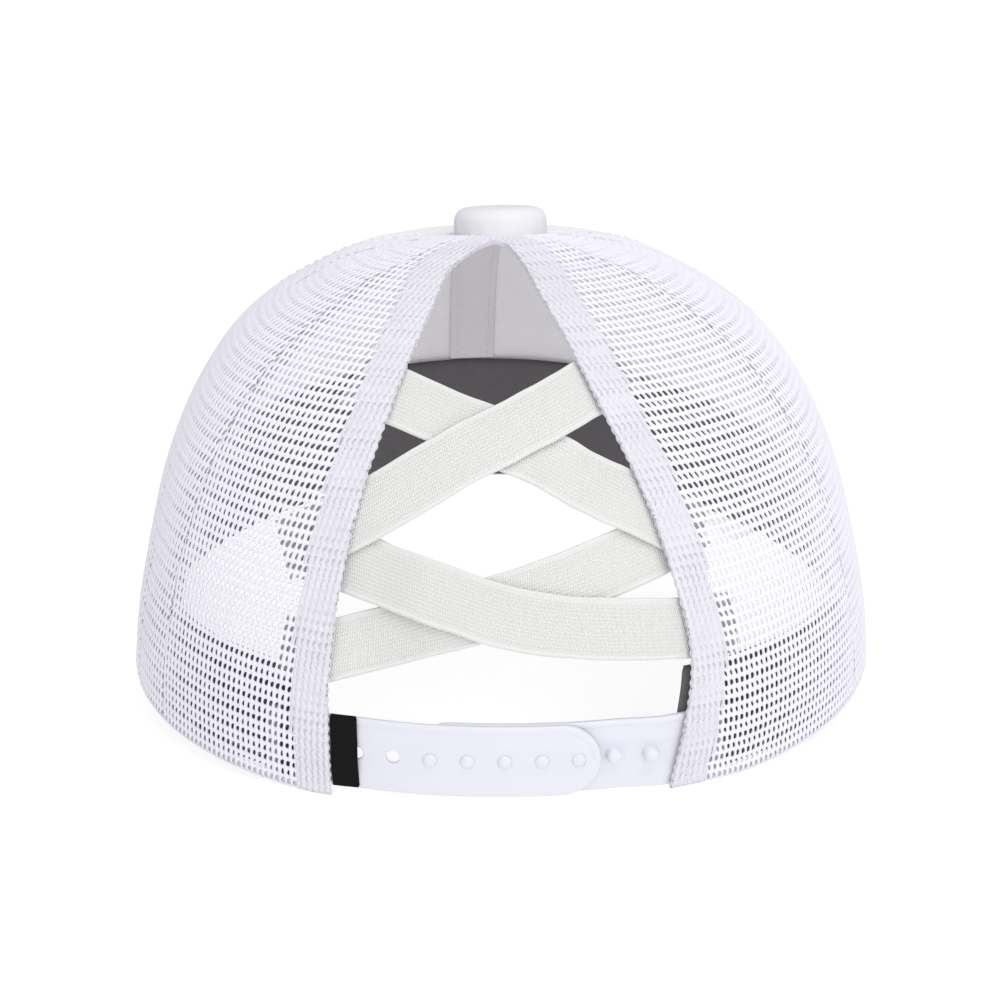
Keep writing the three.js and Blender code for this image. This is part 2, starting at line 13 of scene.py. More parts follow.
import bpy
import numpy as np
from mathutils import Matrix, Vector


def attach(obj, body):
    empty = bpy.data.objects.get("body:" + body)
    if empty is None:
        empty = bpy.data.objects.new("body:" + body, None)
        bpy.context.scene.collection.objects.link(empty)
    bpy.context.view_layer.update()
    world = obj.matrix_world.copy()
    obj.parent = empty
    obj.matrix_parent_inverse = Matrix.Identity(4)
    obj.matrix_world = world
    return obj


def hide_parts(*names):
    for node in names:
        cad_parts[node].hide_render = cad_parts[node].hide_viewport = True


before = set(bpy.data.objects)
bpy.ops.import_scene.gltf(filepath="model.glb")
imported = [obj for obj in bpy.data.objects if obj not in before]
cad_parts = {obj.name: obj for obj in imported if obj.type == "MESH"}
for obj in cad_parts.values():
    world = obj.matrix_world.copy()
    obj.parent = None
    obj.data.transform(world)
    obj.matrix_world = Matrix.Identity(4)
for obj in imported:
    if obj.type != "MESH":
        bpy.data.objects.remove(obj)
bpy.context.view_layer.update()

# %% [markdown]
# ## The crown as one surface
#
# A cap's crown is six curved gores sewn into a dome. All of them lie on one smooth surface, so
# one function describes it: an angle goes round the crown from the back centre, and a share goes
# up from the rim to the button. A short table of level sections drives it, as a hatter's block
# is carved from a few section drawings.

# %% The crown's sections and its surface
CROWN_HEIGHT = 119.5
RIM_RISE = 29.2
FOOT_Y = 69.0
APEX_Y = -8.0
TABLE_Y = 35.5  # from the crown's axis to the middle of the whole cap
ARCH_SWELL = 3.0  # how far the cloth stands up behind the button
SWELL_RISES, SWELL_FALLS = (0.87, 0.955), (0.972, 1.0)  # between these shares
LEVEL_SHARE = 0.12  # below this share the way in turns level

# Columns: height share, half width, back, front and y of the widest place.
SECTIONS = np.array(
    [
        [0.00, 98.7, 80.7, -80.5, 8.5],
        [0.14, 97.0, 81.8, -82.5, 8.5],
        [0.30, 93.5, 79.0, -82.5, 7.5],
        [0.48, 88.5, 71.0, -81.5, 5.0],
        [0.65, 80.5, 59.5, -77.5, 2.0],
        [0.80, 68.5, 45.0, -68.5, -2.5],
        [0.91, 51.0, 28.5, -53.0, -5.5],
        [0.975, 33.5, 12.5, -34.5, -8.0],
        [1.00, 0.0, -8.0, -8.0, -8.0],
    ]
)


def smooth(values, t):
    """A Catmull-Rom curve through evenly spread values, at t from 0 to 1. Past both ends the row
    of values is taken on in a straight line."""
    values = np.asarray(values, float)
    padded = np.concatenate(
        [[2 * values[0] - values[1]], values, [2 * values[-1] - values[-2]]]
    )
    place = np.clip(t, 0, 1) * (len(values) - 1)
    i = np.minimum(place.astype(int), len(values) - 2)
    f = place - i
    a, b, c, d = (padded[i + k] for k in range(4))
    return 0.5 * (
        2 * b + (c - a) * f + (2 * a - 5 * b + 4 * c - d) * f**2 + (3 * b - a - 3 * c + d) * f**3
    )


def ease(value, start, end):
    """0 up to start, 1 from end on, and a smooth step between them."""
    t = np.clip((value - start) / (end - start), 0, 1)
    return t * t * (3 - 2 * t)


def crown(angle, share):
    """The outer surface: each level section is two half ellipses that meet at its widest place,
    and the rim's slope fades out towards the top. Behind the button the folded cloth of the arch
    stands a little higher."""
    angle, share = np.broadcast_arrays(np.asarray(angle, float), np.asarray(share, float))
    height, half, back, front, widest = (smooth(SECTIONS[:, k], share) for k in range(5))
    sine, cosine = np.sin(np.radians(angle)), np.cos(np.radians(angle))
    y = widest + np.where(cosine > 0, back - widest, widest - front) * cosine
    _, _, rim_back, rim_front, rim_widest = SECTIONS[0]
    rim_reach = np.where(cosine > 0, rim_back - rim_widest, rim_widest - rim_front)
    rim_y = rim_widest + rim_reach * cosine
    rim_z = np.maximum(0, RIM_RISE * (FOOT_Y - rim_y) / (FOOT_Y - rim_front))
    swell = ARCH_SWELL * ease(share, *SWELL_RISES) * (1 - ease(share, *SWELL_FALLS))
    z = rim_z * (1 - height) + CROWN_HEIGHT * height + swell * (0.5 + 0.5 * cosine)
    return np.stack([half * sine, y, z], -1)


def unit(vectors):
    return vectors / np.maximum(np.linalg.norm(vectors, axis=-1, keepdims=True), 1e-12)


def crown_normal(angle, share):
    """The outward normal: the cross product of a small step up and a small step round."""
    step = 0.002
    low = np.clip(share, step, 1 - 2 * step)
    along = crown(angle + 0.1, low) - crown(angle - 0.1, low)
    up = crown(angle, low + step) - crown(angle, low - step)
    return unit(np.cross(up, along))


def inside(angle, share, depth):
    """A place below the outer surface. The way in is level at the rim and turns to the normal
    a little above it, so that all layers end level there."""
    angle, share = np.broadcast_arrays(np.asarray(angle, float), np.asarray(share, float))
    normal = crown_normal(angle, share)
    level = unit(normal * np.array([1, 1, 0]))
    blend = ease(share, 0, LEVEL_SHARE)[..., None]
    way = unit(level * (1 - blend) + normal * blend)
    return crown(angle, share) - way * np.asarray(depth, float)[..., None]


def mm_per_degree(angle, share):
    return np.linalg.norm(crown(angle + 0.5, share) - crown(angle - 0.5, share), axis=-1)


def share_at_height(angle, z):
    """The share at which the crown is z above the table, from four Newton steps."""
    share = np.full(np.broadcast(angle, z).shape, 0.08)
    for _ in range(4):
        here = crown(angle, share)[..., 2]
        slope = (crown(angle, share + 0.002)[..., 2] - crown(angle, share - 0.002)[..., 2]) / 0.004
        share = np.clip(share + (z - here) / slope, 0, 0.4)
    return share


def measured(line):
    """The length along a line of points, from 0 at its start."""
    return np.concatenate([[0], np.cumsum(np.linalg.norm(np.diff(line, axis=0), axis=1))])


print("crown top", crown(0, 1.0).round(1).tolist(), "rim back", crown(0, 0.0).round(1).tolist())

# %% [markdown]
# ## Seams and the opening's edges
#
# The gores meet in upright seams that run to the button. The ponytail opening is a pointed arch:
# each edge is given by a few angles, and near the top both are drawn in to the arch's middle.

# %% Edges as functions of the share
SHARES = np.linspace(0, 1, 501)
OPENING_SHARE = 0.96
OPENING_LEFT = [30.1, 30.9, 31.5, 30.4, 28.4, 25.6, 24.1, 24.0, 28.0]
OPENING_RIGHT = [-19.9, -22.3, -24.3, -22.4, -19.2, -14.7, -11.5, -8.5, -10.0]
ARCH_START, ARCH_TOP, ARCH_ANGLE = 0.86, 0.945, 3.0
SEAM_BEARINGS = {"rear_left": 64, "rear_right": -62, "front_left": 111, "front_right": -111}
HEM_WIDTH = 9.6
GAP = 0.3
LAP, LAP_SHARE = 2.4, 0.013  # the right hem laps over the left one above the arch


def opening_edge(values):
    """The table's angle, drawn in near the top to the arch's middle, as a pointed ellipse."""
    edge = smooth(values, SHARES / OPENING_SHARE)
    climb = np.clip((SHARES - ARCH_START) / (ARCH_TOP - ARCH_START), 0, 1)
    return ARCH_ANGLE + (edge - ARCH_ANGLE) * (1 - climb**2) ** 0.6


def hem_edge(opening, side):
    return opening + side * HEM_WIDTH / mm_per_degree(opening, np.minimum(SHARES, 0.93))


def seam_edge(bearing):
    """The angle at which an upright plane through the top cuts the crown, found by halving."""
    side = np.sign(bearing)
    low, high = np.zeros_like(SHARES), np.full_like(SHARES, 180)
    for _ in range(24):
        middle = (low + high) / 2
        point = crown(middle, np.minimum(SHARES, 0.97))
        beyond = np.arctan2(point[:, 0], point[:, 1] - APEX_Y) > np.radians(abs(bearing))
        low, high = np.where(beyond, low, middle), np.where(beyond, middle, high)
    return side * low


EDGES = {"open_left": opening_edge(OPENING_LEFT), "open_right": opening_edge(OPENING_RIGHT)}
EDGES["hem_left"] = hem_edge(EDGES["open_left"], 1)
EDGES["hem_right"] = hem_edge(EDGES["open_right"], -1)
lap = LAP * np.clip((SHARES - ARCH_TOP) / LAP_SHARE + 1, 0, 1)
EDGES["open_right"] += lap / mm_per_degree(ARCH_ANGLE, np.minimum(SHARES, 0.985))
EDGES.update({name: seam_edge(bearing) for name, bearing in SEAM_BEARINGS.items()})
EDGES.update(centre_left=np.full_like(SHARES, 180), centre_right=np.full_like(SHARES, -180))


def edge_at(name, share):
    return np.interp(share, SHARES, EDGES[name])


print("edges at the rim:", {name: round(float(edge[0]), 1) for name, edge in EDGES.items()})

# %% [markdown]
# ## From arrays to a piece
#
# Each piece is a few big arrays: points in millimetres, faces of four corners, and a flat map in
# millimetres for the weave to follow. Points that fall together are welded, so seams and poles
# close. A closed mesh whose volume comes out negative is inside out, and is turned round.

# %% Weld and turn outward
MM = 0.001


def merged(points):
    """(the first of the points at each place, each point's place), to a thousandth of a mm."""
    keys = np.round(points * 1000).astype(np.int64)
    _, first, back = np.unique(keys, axis=0, return_index=True, return_inverse=True)
    return first, back.reshape(-1)


def weld(points, faces, flat):
    """Points at one place become one, and faces lose repeated corners."""
    first, back = merged(points)
    faces = back[faces]
    same = faces == np.roll(faces, -1, axis=1)
    crossed = (faces[:, 0] == faces[:, 2]) | (faces[:, 1] == faces[:, 3])
    quads = faces[(same.sum(1) == 0) & ~crossed]
    short = faces[(same.sum(1) == 1) & ~crossed]
    turn = np.argmax(short == np.roll(short, -1, axis=1), axis=1)[:, None]
    triangles = np.take_along_axis(short, (turn + np.array([1, 2, 3])) % 4, axis=1)
    return points[first], quads, triangles, flat[first]


def volume(points, quads, triangles):
    """The sum over all triangles of the tetrahedron that each makes with the origin. It is
    negative when the faces point inward."""
    both = np.concatenate([quads[:, [0, 1, 2]], quads[:, [0, 2, 3]], triangles])
    a, b, c = (points[both[:, k]] for k in range(3))
    return float((a * np.cross(b, c)).sum() / 6)


# %% Make the object
def make_piece(name, points, faces, flat, finish, slot, replaces=()):
    """Points (n, 3) in millimetres, faces (m, 4) and a flat map (n, 2) in millimetres."""
    points, quads, triangles, flat = weld(
        points.reshape(-1, 3), faces.reshape(-1, 4), flat.reshape(-1, 2)
    )
    if volume(points, quads, triangles) < 0:
        quads, triangles = quads[:, ::-1], triangles[:, ::-1]
    corners = np.concatenate([quads.ravel(), triangles.ravel()])
    starts = np.concatenate(
        [np.arange(len(quads)) * 4, len(quads) * 4 + np.arange(len(triangles)) * 3]
    )
    in_metres = (points + [0, TABLE_Y, 0]) * MM
    mesh = bpy.data.meshes.new(name)
    mesh.vertices.add(len(points))
    mesh.vertices.foreach_set("co", in_metres.ravel())
    mesh.loops.add(len(corners))
    mesh.loops.foreach_set("vertex_index", corners.astype(np.int32))
    mesh.polygons.add(len(starts))
    mesh.polygons.foreach_set("loop_start", starts.astype(np.int32))
    mesh.update(calc_edges=True)
    mesh.polygons.foreach_set("use_smooth", np.ones(len(starts), bool))
    layer = mesh.uv_layers.new(name="flat_map")
    layer.data.foreach_set("uv", flat[corners].ravel().astype(np.float32))
    mesh.validate()
    mesh.materials.append(finish)
    piece = bpy.data.objects.new(name, mesh)
    bpy.context.scene.collection.objects.link(piece)
    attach(piece, "root")
    if replaces:
        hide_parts(*replaces)
    print(f"{name}: {2 * len(quads) + len(triangles)} triangles")
    return piece


def joined(*parts):
    """Several (points, faces, flat) sets as one set."""
    offset, points, faces, flats = 0, [], [], []
    for part_points, part_faces, part_flat in parts:
        part_points = part_points.reshape(-1, 3)
        points.append(part_points)
        faces.append(part_faces.reshape(-1, 4) + offset)
        flats.append(part_flat.reshape(-1, 2))
        offset += len(part_points)
    return np.concatenate(points), np.concatenate(faces), np.concatenate(flats)


# %% [markdown]
# ## A band: a section carried along a line
#
# Straps, panels, tape, the sweatband and the peak are all thin bands. A band has stations along
# it and offsets across it, with an outer and an inner depth at each. One function turns them
# into a closed mesh: it goes over the outer face, back along the inner face, and caps both ends.

# %% The band builder
def tube_faces(rings, around):
    """Faces of four corners between neighbouring rings of points, each ring closed."""
    ring, k = np.meshgrid(np.arange(rings - 1) * around, np.arange(around), indexing="ij")
    after = (k + 1) % around
    return np.stack(
        [ring + k, ring + after, ring + around + after, ring + around + k], -1
    ).reshape(-1, 4)


TURNED = [0, 3, 2, 1]  # the corners of a face taken the other way round


def band(place, stations, offsets, outer, inner):
    """place(station, offset, depth) gives points. The section loop runs out along the offsets at
    the outer depth and back at the inner depth."""
    n, k = len(stations), len(offsets)
    outer = np.broadcast_to(outer, (n, k))
    inner = np.broadcast_to(inner, (n, k))
    across = np.concatenate([offsets, offsets[::-1]])
    depth = np.concatenate([outer, inner[:, ::-1]], axis=1)
    points = place(stations[:, None], across[None, :], depth)
    j = np.arange(k - 1)
    cap = np.stack([j, 2 * k - 1 - j, 2 * k - 2 - j, j + 1], -1)
    faces = np.concatenate([tube_faces(n, 2 * k), cap, (cap + (n - 1) * 2 * k)[:, ::-1]])
    length = measured(points[:, k // 2])[:, None]
    width = measured(points[n // 2, :k])
    width = width - width[-1] / 2
    width = np.concatenate([width, width[::-1]])[None, :]
    return points, faces, np.stack(np.broadcast_arrays(length, width), -1)


def quarter_round(reach):
    """0 at reach 0, up a quarter circle, and 1 from reach 1 on."""
    return np.sqrt(np.clip(1 - (1 - np.clip(reach, 0, 1)) ** 2, 0, 1))


def rounded(offsets, half, edge):
    """How full a section is at each offset: 1 in the middle, a quarter round at both sides."""
    return quarter_round((half - np.abs(offsets)) / edge)


def groove(distance, depth, width):
    """A sewn-in groove: a bell curve that is that deep where the distance is 0."""
    return depth * np.exp(-((distance / width) ** 2))


print("three rings of eight points make", len(tube_faces(3, 8)), "faces")

# %% [markdown]
# ## Finishes from arithmetic
#
# A material is a small sum: a colour, a roughness and a relief that depend on where a point lies.
# The class below wraps a node's output, so such a sum is written as Python and the Math nodes are
# added for it. Cloth reads the flat map in millimetres, so a weave follows its piece.

# %% A shader's sums written as Python
TURN = 2 * math.pi


class Wire:
    """One output of a node. Sums with it add Math nodes to its material."""

    def __init__(self, shader, socket):
        self.shader = shader
        self.socket = socket

    def math(self, operation, first, second=0.0):
        return self.shader.node("Math", {"operation": operation}, {0: first, 1: second})

    def __add__(self, other):
        return self.math("ADD", self, other)

    def __radd__(self, other):
        return self.math("ADD", other, self)

    def __sub__(self, other):
        return self.math("SUBTRACT", self, other)

    def __rsub__(self, other):
        return self.math("SUBTRACT", other, self)

    def __mul__(self, other):
        return self.math("MULTIPLY", self, other)

    def __rmul__(self, other):
        return self.math("MULTIPLY", other, self)

    def __truediv__(self, other):
        return self.math("DIVIDE", self, other)

    def __mod__(self, other):
        return self.math("FLOORED_MODULO", self, other)

    def wave(self):
        """The sine, moved to run from 0 to 1."""
        return self.math("SINE", self) * 0.5 + 0.5

    def floor(self):
        return self.math("FLOOR", self)

    def size(self):
        return self.math("ABSOLUTE", self)

    def over(self, limit):
        return self.math("GREATER_THAN", self, limit)


# %% A material and its nodes
class Shader:
    """A new material, and the one method that makes its nodes."""

    def __init__(self, name):
        self.material = bpy.data.materials.new(name)
        self.material.use_nodes = True
        self.tree = self.material.node_tree
        self.tree.nodes.clear()

    def node(self, kind, settings, values, output=0):
        made = self.tree.nodes.new("ShaderNode" + kind)
        for key, value in settings.items():
            setattr(made, key, value)
        for socket, value in values.items():
            if isinstance(value, Wire):
                self.tree.links.new(value.socket, made.inputs[socket])
            else:
                made.inputs[socket].default_value = value
        return Wire(self, made.outputs[output]) if made.outputs else None

    def flat_map(self):
        """The two millimetre coordinates of the piece's flat map."""
        both = self.node("TexCoord", {}, {}, "UV")
        return [self.node("SeparateXYZ", {}, {0: both}, axis) for axis in (0, 1)]

    def noise(self, per_mm, detail=2.0):
        """Soft noise in the object's own space, with that many features a millimetre."""
        place = self.node("TexCoord", {}, {}, "Object")
        values = {"Vector": place, "Scale": per_mm / MM, "Detail": detail, "Roughness": 0.55}
        return self.node("TexNoise", {}, values)

    def mix(self, factor, first, second):
        values = {0: factor, 6: (*first, 1), 7: (*second, 1)}
        return self.node("Mix", {"data_type": "RGBA"}, values, 2)

    def bump(self, height, depth_mm, strength):
        values = {"Height": height, "Distance": depth_mm * MM, "Strength": strength}
        return self.node("Bump", {}, values)

    def done(self, colour, roughness, normal, **constants):
        """Closes the material. Constants go straight on the shader's own sockets."""
        values = {"Base Color": colour, "Roughness": roughness, "Normal": normal}
        values.update({key.replace("_", " "): value for key, value in constants.items()})
        surface = self.node("BsdfPrincipled", {}, values)
        self.node("OutputMaterial", {}, {"Surface": surface})
        return self.material


# %% [markdown]
# ### The finishes themselves
#
# The net's yarn is bright polyester with a cool tint, its filaments showing as a fine relief; the
# hem uses a darker copy of it, as painted shade.
# Twill has slanted ribs. The elastic has short ribs across it, staggered like bricks, with denser
# selvedges. The snap closure is smooth plastic with a faint mould texture. The sweatband is
# charcoal twill and the label a plain black satin weave.

# %% Yarn and twill
def net_finish(name, dark, light):
    shader = Shader(name)
    broad = shader.noise(0.12)
    fine = shader.noise(3.2, 3.0)
    tone = broad * 0.5 + fine * 0.5
    colour = shader.mix(tone, dark, light)
    normal = shader.bump(fine, 0.12, 0.7)
    return shader.done(colour, 0.55 + fine * 0.3, normal, Specular_IOR_Level=0.35)


def twill_finish(name, dark, light, pitch, relief):
    shader = Shader(name)
    u, v = shader.flat_map()
    rib = ((u + v * 0.9) * (TURN / pitch)).wave()
    cross = ((u - v * 1.1) * (TURN / (pitch * 0.55))).wave()
    fibre = shader.noise(2.6, 3.0)
    cloth = rib * 0.55 + cross * 0.15 + fibre * 0.3
    worn = shader.noise(0.05)
    colour = shader.mix(cloth * 0.7 + worn * 0.3, dark, light)
    normal = shader.bump(cloth, relief, 0.8)
    return shader.done(colour, 0.72 + fibre * 0.2, normal, Specular_IOR_Level=0.25)


# %% Elastic and plastic
RIB_PITCH, COURSE_PITCH, SELVEDGE = 0.62, 0.95, 6.4


def elastic_finish():
    shader = Shader("ribbed_elastic")
    u, v = shader.flat_map()
    brick = (v / COURSE_PITCH).floor() % 2.0
    rib = (u * (TURN / RIB_PITCH) + brick * math.pi).wave()
    course = (v * (TURN / COURSE_PITCH)).wave()
    selvedge = v.size().over(SELVEDGE)
    line = (v.size() - (SELVEDGE - 0.25)).size().over(0.24)
    weave = rib * (1 - selvedge * 0.6) * 0.68 + course * 0.32
    fibre = shader.noise(2.4, 3.0)
    height = weave * (0.45 + line * 0.52) + fibre * 0.03
    colour = shader.mix(height, (0.70, 0.697, 0.683), (0.835, 0.832, 0.82))
    normal = shader.bump(height, 0.30, 0.9)
    return shader.done(colour, 0.7 + fibre * 0.2, normal, Specular_IOR_Level=0.25)


def plastic_finish():
    shader = Shader("moulded_plastic")
    cloud = shader.noise(0.08)
    grain = shader.noise(4.0, 2.0)
    colour = shader.mix(cloud, (0.69, 0.69, 0.765), (0.725, 0.725, 0.80))
    normal = shader.bump(grain, 0.02, 0.5)
    return shader.done(colour, 0.32 + cloud * 0.16, normal, Specular_IOR_Level=0.5,
                       Coat_Weight=0.1, Coat_Roughness=0.3)


# %% Label and thread
WARP_PITCH, WEFT_PITCH = 0.34, 0.42


def label_finish():
    shader = Shader("woven_label_black")
    u, v = shader.flat_map()
    warp = (u * (TURN / WARP_PITCH)).wave()
    weft = (v * (TURN / WEFT_PITCH) + (u / WARP_PITCH).floor() * math.pi).wave()
    fibre = shader.noise(3.0, 3.0)
    height = warp * 0.35 + weft * 0.4 + fibre * 0.25
    colour = shader.mix(height, (0.004, 0.004, 0.0045), (0.016, 0.0155, 0.017))
    normal = shader.bump(height, 0.1, 0.8)
    return shader.done(colour, 0.75 + fibre * 0.2, normal, Specular_IOR_Level=0.04)


def thread_finish():
    shader = Shader("sewing_thread")
    fibre = shader.noise(5.0, 2.0)
    colour = shader.mix(fibre, (0.78, 0.775, 0.80), (0.90, 0.89, 0.92))
    normal = shader.bump(fibre, 0.05, 0.6)
    return shader.done(colour, 0.5 + fibre * 0.2, normal, Specular_IOR_Level=0.4)


# %% Mix them all
NET = net_finish("net_yarn", (0.765, 0.757, 0.835), (0.845, 0.837, 0.915))
# The hem is the same net yarn, given a darker copy of its colour: painted shade for the folded hem.
# Its wider noise spread is random tone.
HEM_SHADED_YARN = net_finish("hem_yarn", (0.62, 0.61, 0.67), (0.80, 0.79, 0.86))
BUTTON_CLOTH = twill_finish("button_twill", (0.72, 0.71, 0.75), (0.80, 0.79, 0.825), 0.75, 0.10)
CLOTH = twill_finish("white_twill", (0.88, 0.862, 0.885), (0.96, 0.95, 0.965), 0.75, 0.10)
TAPE = twill_finish("seam_tape", (0.75, 0.715, 0.745), (0.84, 0.80, 0.83), 0.9, 0.10)
BAND = twill_finish("charcoal_twill", (0.105, 0.099, 0.103), (0.175, 0.167, 0.172), 0.8, 0.14)
ELASTIC = elastic_finish()
PLASTIC = plastic_finish()
LABEL = label_finish()
THREAD = thread_finish()
print("finishes:", len(bpy.data.materials))

# %% [markdown]
# ## Cutting a panel from flat cloth
#
# A gore is cut flat. Its middle line is a ruler that runs up the crown, and the cloth's columns
# lie beside it. A cut keeps that ruler, so a place on the cloth, in millimetres across and up,
# can be laid on the crown. Cloth that would pass the panel's edge stops there.

# %% Lay flat cloth on the crown
SEAM_GAP = 0.02


class Cut:
    """A panel between two edges, from the rim to a share near the top. A hem takes its ruler from
    the net beside it, so the columns of both run on."""

    def __init__(self, first, second, top=0.985, ruler=None):
        low, high = sorted([first, second], key=lambda name: EDGES[name][0])
        self.low, self.high, self.top = EDGES[low], EDGES[high], top
        own = (self.low + self.high) / 2
        self.middle = ruler.middle if ruler else own
        self.up = measured(crown(self.middle, SHARES))
        self.height = float(np.interp(top, SHARES, self.up))
        scale = mm_per_degree(own, SHARES)
        wide = (self.high - self.low) * scale
        self.half_width = float(wide.max() / 2)
        self.first = float(((self.low - self.middle) * scale)[SHARES <= top].min())
        self.last = float(((self.high - self.middle) * scale)[SHARES <= top].max())
        slices = (wide[1:] + wide[:-1]) / 2 * np.diff(self.up)
        self.area = float(slices[SHARES[1:] <= top].sum())

    def edges(self, up):
        """(share, low edge's angle, high edge's angle) at a length up the middle line."""
        share = np.interp(up, self.up, SHARES)
        return share, np.interp(share, SHARES, self.low), np.interp(share, SHARES, self.high)

    def where(self, across, up):
        """(angle, share, millimetres a degree). The angle is found with the crown's scale halfway
        between the middle line and the place."""
        share = np.interp(up, self.up, SHARES)
        middle = np.interp(share, SHARES, self.middle)
        guess = across / mm_per_degree(middle, share)
        scale = mm_per_degree(middle + guess / 2, share)
        return middle + across / scale, share, scale

    def lay(self, across, up, depth, edge_depth, margins=(SEAM_GAP, SEAM_GAP)):
        """(points, which of them had to stop at an edge)."""
        across, up, depth = np.broadcast_arrays(across, up, depth)
        angle, share, scale = self.where(across, up)
        low = np.interp(share, SHARES, self.low) + margins[0] / scale
        high = np.interp(share, SHARES, self.high) - margins[1] / scale
        stopped = (angle <= low) | (angle >= high) | (up <= 0) | (up >= self.height)
        angle = np.clip(angle, low, np.maximum(low, high))
        share = np.clip(share, 0, self.top)
        return inside(angle, share, np.where(stopped, edge_depth, depth)), stopped


# %% Cut the eight panels
CUTS = {}
HEM_TOP = 0.98
for side, way in (("left", -1), ("right", 1)):
    CUTS["front_panel_" + side] = Cut("front_" + side, "centre_" + side)
    CUTS["side_mesh_" + side] = Cut("rear_" + side, "front_" + side)
    net = CUTS["rear_mesh_" + side] = Cut("hem_" + side, "rear_" + side)
    hem = CUTS["opening_hem_" + side] = Cut("open_" + side, "hem_" + side, HEM_TOP, net)
    net.hem_line = hem.hem_line = EDGES["hem_" + side]
    net.hem_way = hem.hem_way = way
print("flat area in cm2:", {name: round(cut.area / 100, 1) for name, cut in CUTS.items()})

# %% [markdown]
# ## The knitted net
#
# The net is a warp knit: legs of yarn zigzag up the cloth, tied to each other between rows of
# holes, where a row of wide ovals alternates with a row of narrow slits. One cell is a hole with
# its share of yarn: eight points round the cell, eight round the hole, and a shoulder between
# them on both faces, so the yarn is round. Thousands of cells are worked out at once as arrays.

# %% The net's cell
COLUMN_PITCH = 1.63
ROW_PITCH = 2.42
ZIGZAG = 0.11
YARN_MIDDLE = 0.48
# Half width, half height, how much wider at the foot, lean in degrees: ovals, then slits.
HOLES = {
    "left": np.array([[0.49, 0.80, 0.0, -26.0], [0.32, 0.74, 0.42, -11.0]]),
    "right": np.array([[0.52, 0.78, 0.0, 14.0], [0.33, 0.76, -0.30, 24.0]]),
}
HEM_HOLES = np.array([[0.20, 1.02, 0.0, 0.0], [0.17, 1.02, 0.0, 0.0]])
CELL_X = np.array([1, 1, 0, -1, -1, -1, 0, 1])
CELL_Y = np.array([0, 1, 1, 1, 0, -1, -1, -1])
# Half the yarn's thickness at those eight points: the legs stand proud of the ties between them.
CELL_YARN = np.array([0.37, 0.36, 0.20, 0.36, 0.37, 0.36, 0.20, 0.36])
# The five rings of a cell: how far in from its rim, and how high, in parts of the yarn.
RING_IN = np.array([0, 0.6, 1, 0.6, 0])[:, None]
RING_RISE = np.array([-1, -0.85, 0, 0.85, 1])[:, None]
CELL_POINTS = 5 * 8
HEM_SWAY = 0.33  # how much more the columns zigzag in a hem
HOLE_SPREAD, LEAN_SPREAD = 0.09, 4.0  # how unlike each other the holes are
print("holes per square centimetre:", round(100 / COLUMN_PITCH / ROW_PITCH, 1))


# %% Knit a panel
def knit(cut, side, seed, holes, shared=None):
    """All cells of a panel. The five rings are the cell's rim and shoulder on the outer face,
    the hole, and the shoulder and rim on the inner face. Net and hem are one cloth, so at the
    edge that they share (0 low, 1 high) each cell goes whole to the side of its middle."""
    draw = np.random.default_rng(seed)
    first, last = math.floor(cut.first / COLUMN_PITCH), math.ceil(cut.last / COLUMN_PITCH)
    column, row = np.meshgrid(
        np.arange(first - 3, last + 3), np.arange(math.ceil(cut.height / ROW_PITCH))
    )
    column, row = column.ravel(), row.ravel()
    reach = [-1.5 * COLUMN_PITCH, -1.5 * COLUMN_PITCH]
    margins = [SEAM_GAP, SEAM_GAP]
    if shared is not None:
        reach[shared] = 0.0
        margins[shared] = -3 * COLUMN_PITCH
    place_x, place_y = (column + 0.5) * COLUMN_PITCH, (row + 0.5) * ROW_PITCH
    near = ~cut.lay(place_x, place_y, 0.0, 0.0, reach)[1]
    column, row = column[near], row[near]
    middle_x, middle_y = place_x[near][:, None], place_y[near][:, None]
    kind = holes[row % 2]
    spread = 1 + HOLE_SPREAD * draw.standard_normal((len(kind), 2)).clip(-2, 2)
    lean = kind[:, 3:] + LEAN_SPREAD * draw.standard_normal((len(kind), 1)).clip(-2, 2)
    lean = np.radians(lean)
    turn = np.arange(8) * TURN / 8
    round_x, round_y = np.cos(turn), np.sin(turn)
    hole_x = kind[:, :1] * spread[:, :1] * round_x * (1 - kind[:, 2:3] * round_y)
    hole_y = kind[:, 1:2] * spread[:, 1:] * round_y
    hole_x, hole_y = (
        hole_x * np.cos(lean) + hole_y * np.sin(lean),
        hole_y * np.cos(lean) - hole_x * np.sin(lean),
    )
    sway = np.full((1, 8), ZIGZAG)
    if shared is not None:
        angle, share, scale = cut.where(
            middle_x + CELL_X * COLUMN_PITCH / 2, middle_y + CELL_Y * ROW_PITCH / 2
        )
        limit = np.interp(share, SHARES, cut.hem_line)
        sway = ZIGZAG + HEM_SWAY * ease((angle - limit) * scale * cut.hem_way, 0.3, 3.0)
    sway = sway * np.where(CELL_Y == 0, 1, -1) * (1 if side == "left" else -1)
    rim_x = CELL_X * COLUMN_PITCH / 2 + sway + 0 * hole_x
    rim_y = np.broadcast_to(CELL_Y * ROW_PITCH / 2, hole_y.shape)
    x, y = (
        middle[:, None] + rim[:, None] + RING_IN * (hole - rim)[:, None]
        for middle, rim, hole in ((middle_x, rim_x, hole_x), (middle_y, rim_y, hole_y))
    )
    depth = YARN_MIDDLE + RING_RISE * CELL_YARN
    points, stopped = cut.lay(x, y, depth, YARN_MIDDLE, margins)
    starts = (np.arange(len(x)) * CELL_POINTS)[:, None, None]
    faces = (starts + tube_faces(5, 8)).reshape(-1, 4)
    faces = faces[~stopped.ravel()[faces].all(1)]
    return points, np.concatenate([faces, border_walls(column, row)]), np.stack([x, y], -1)


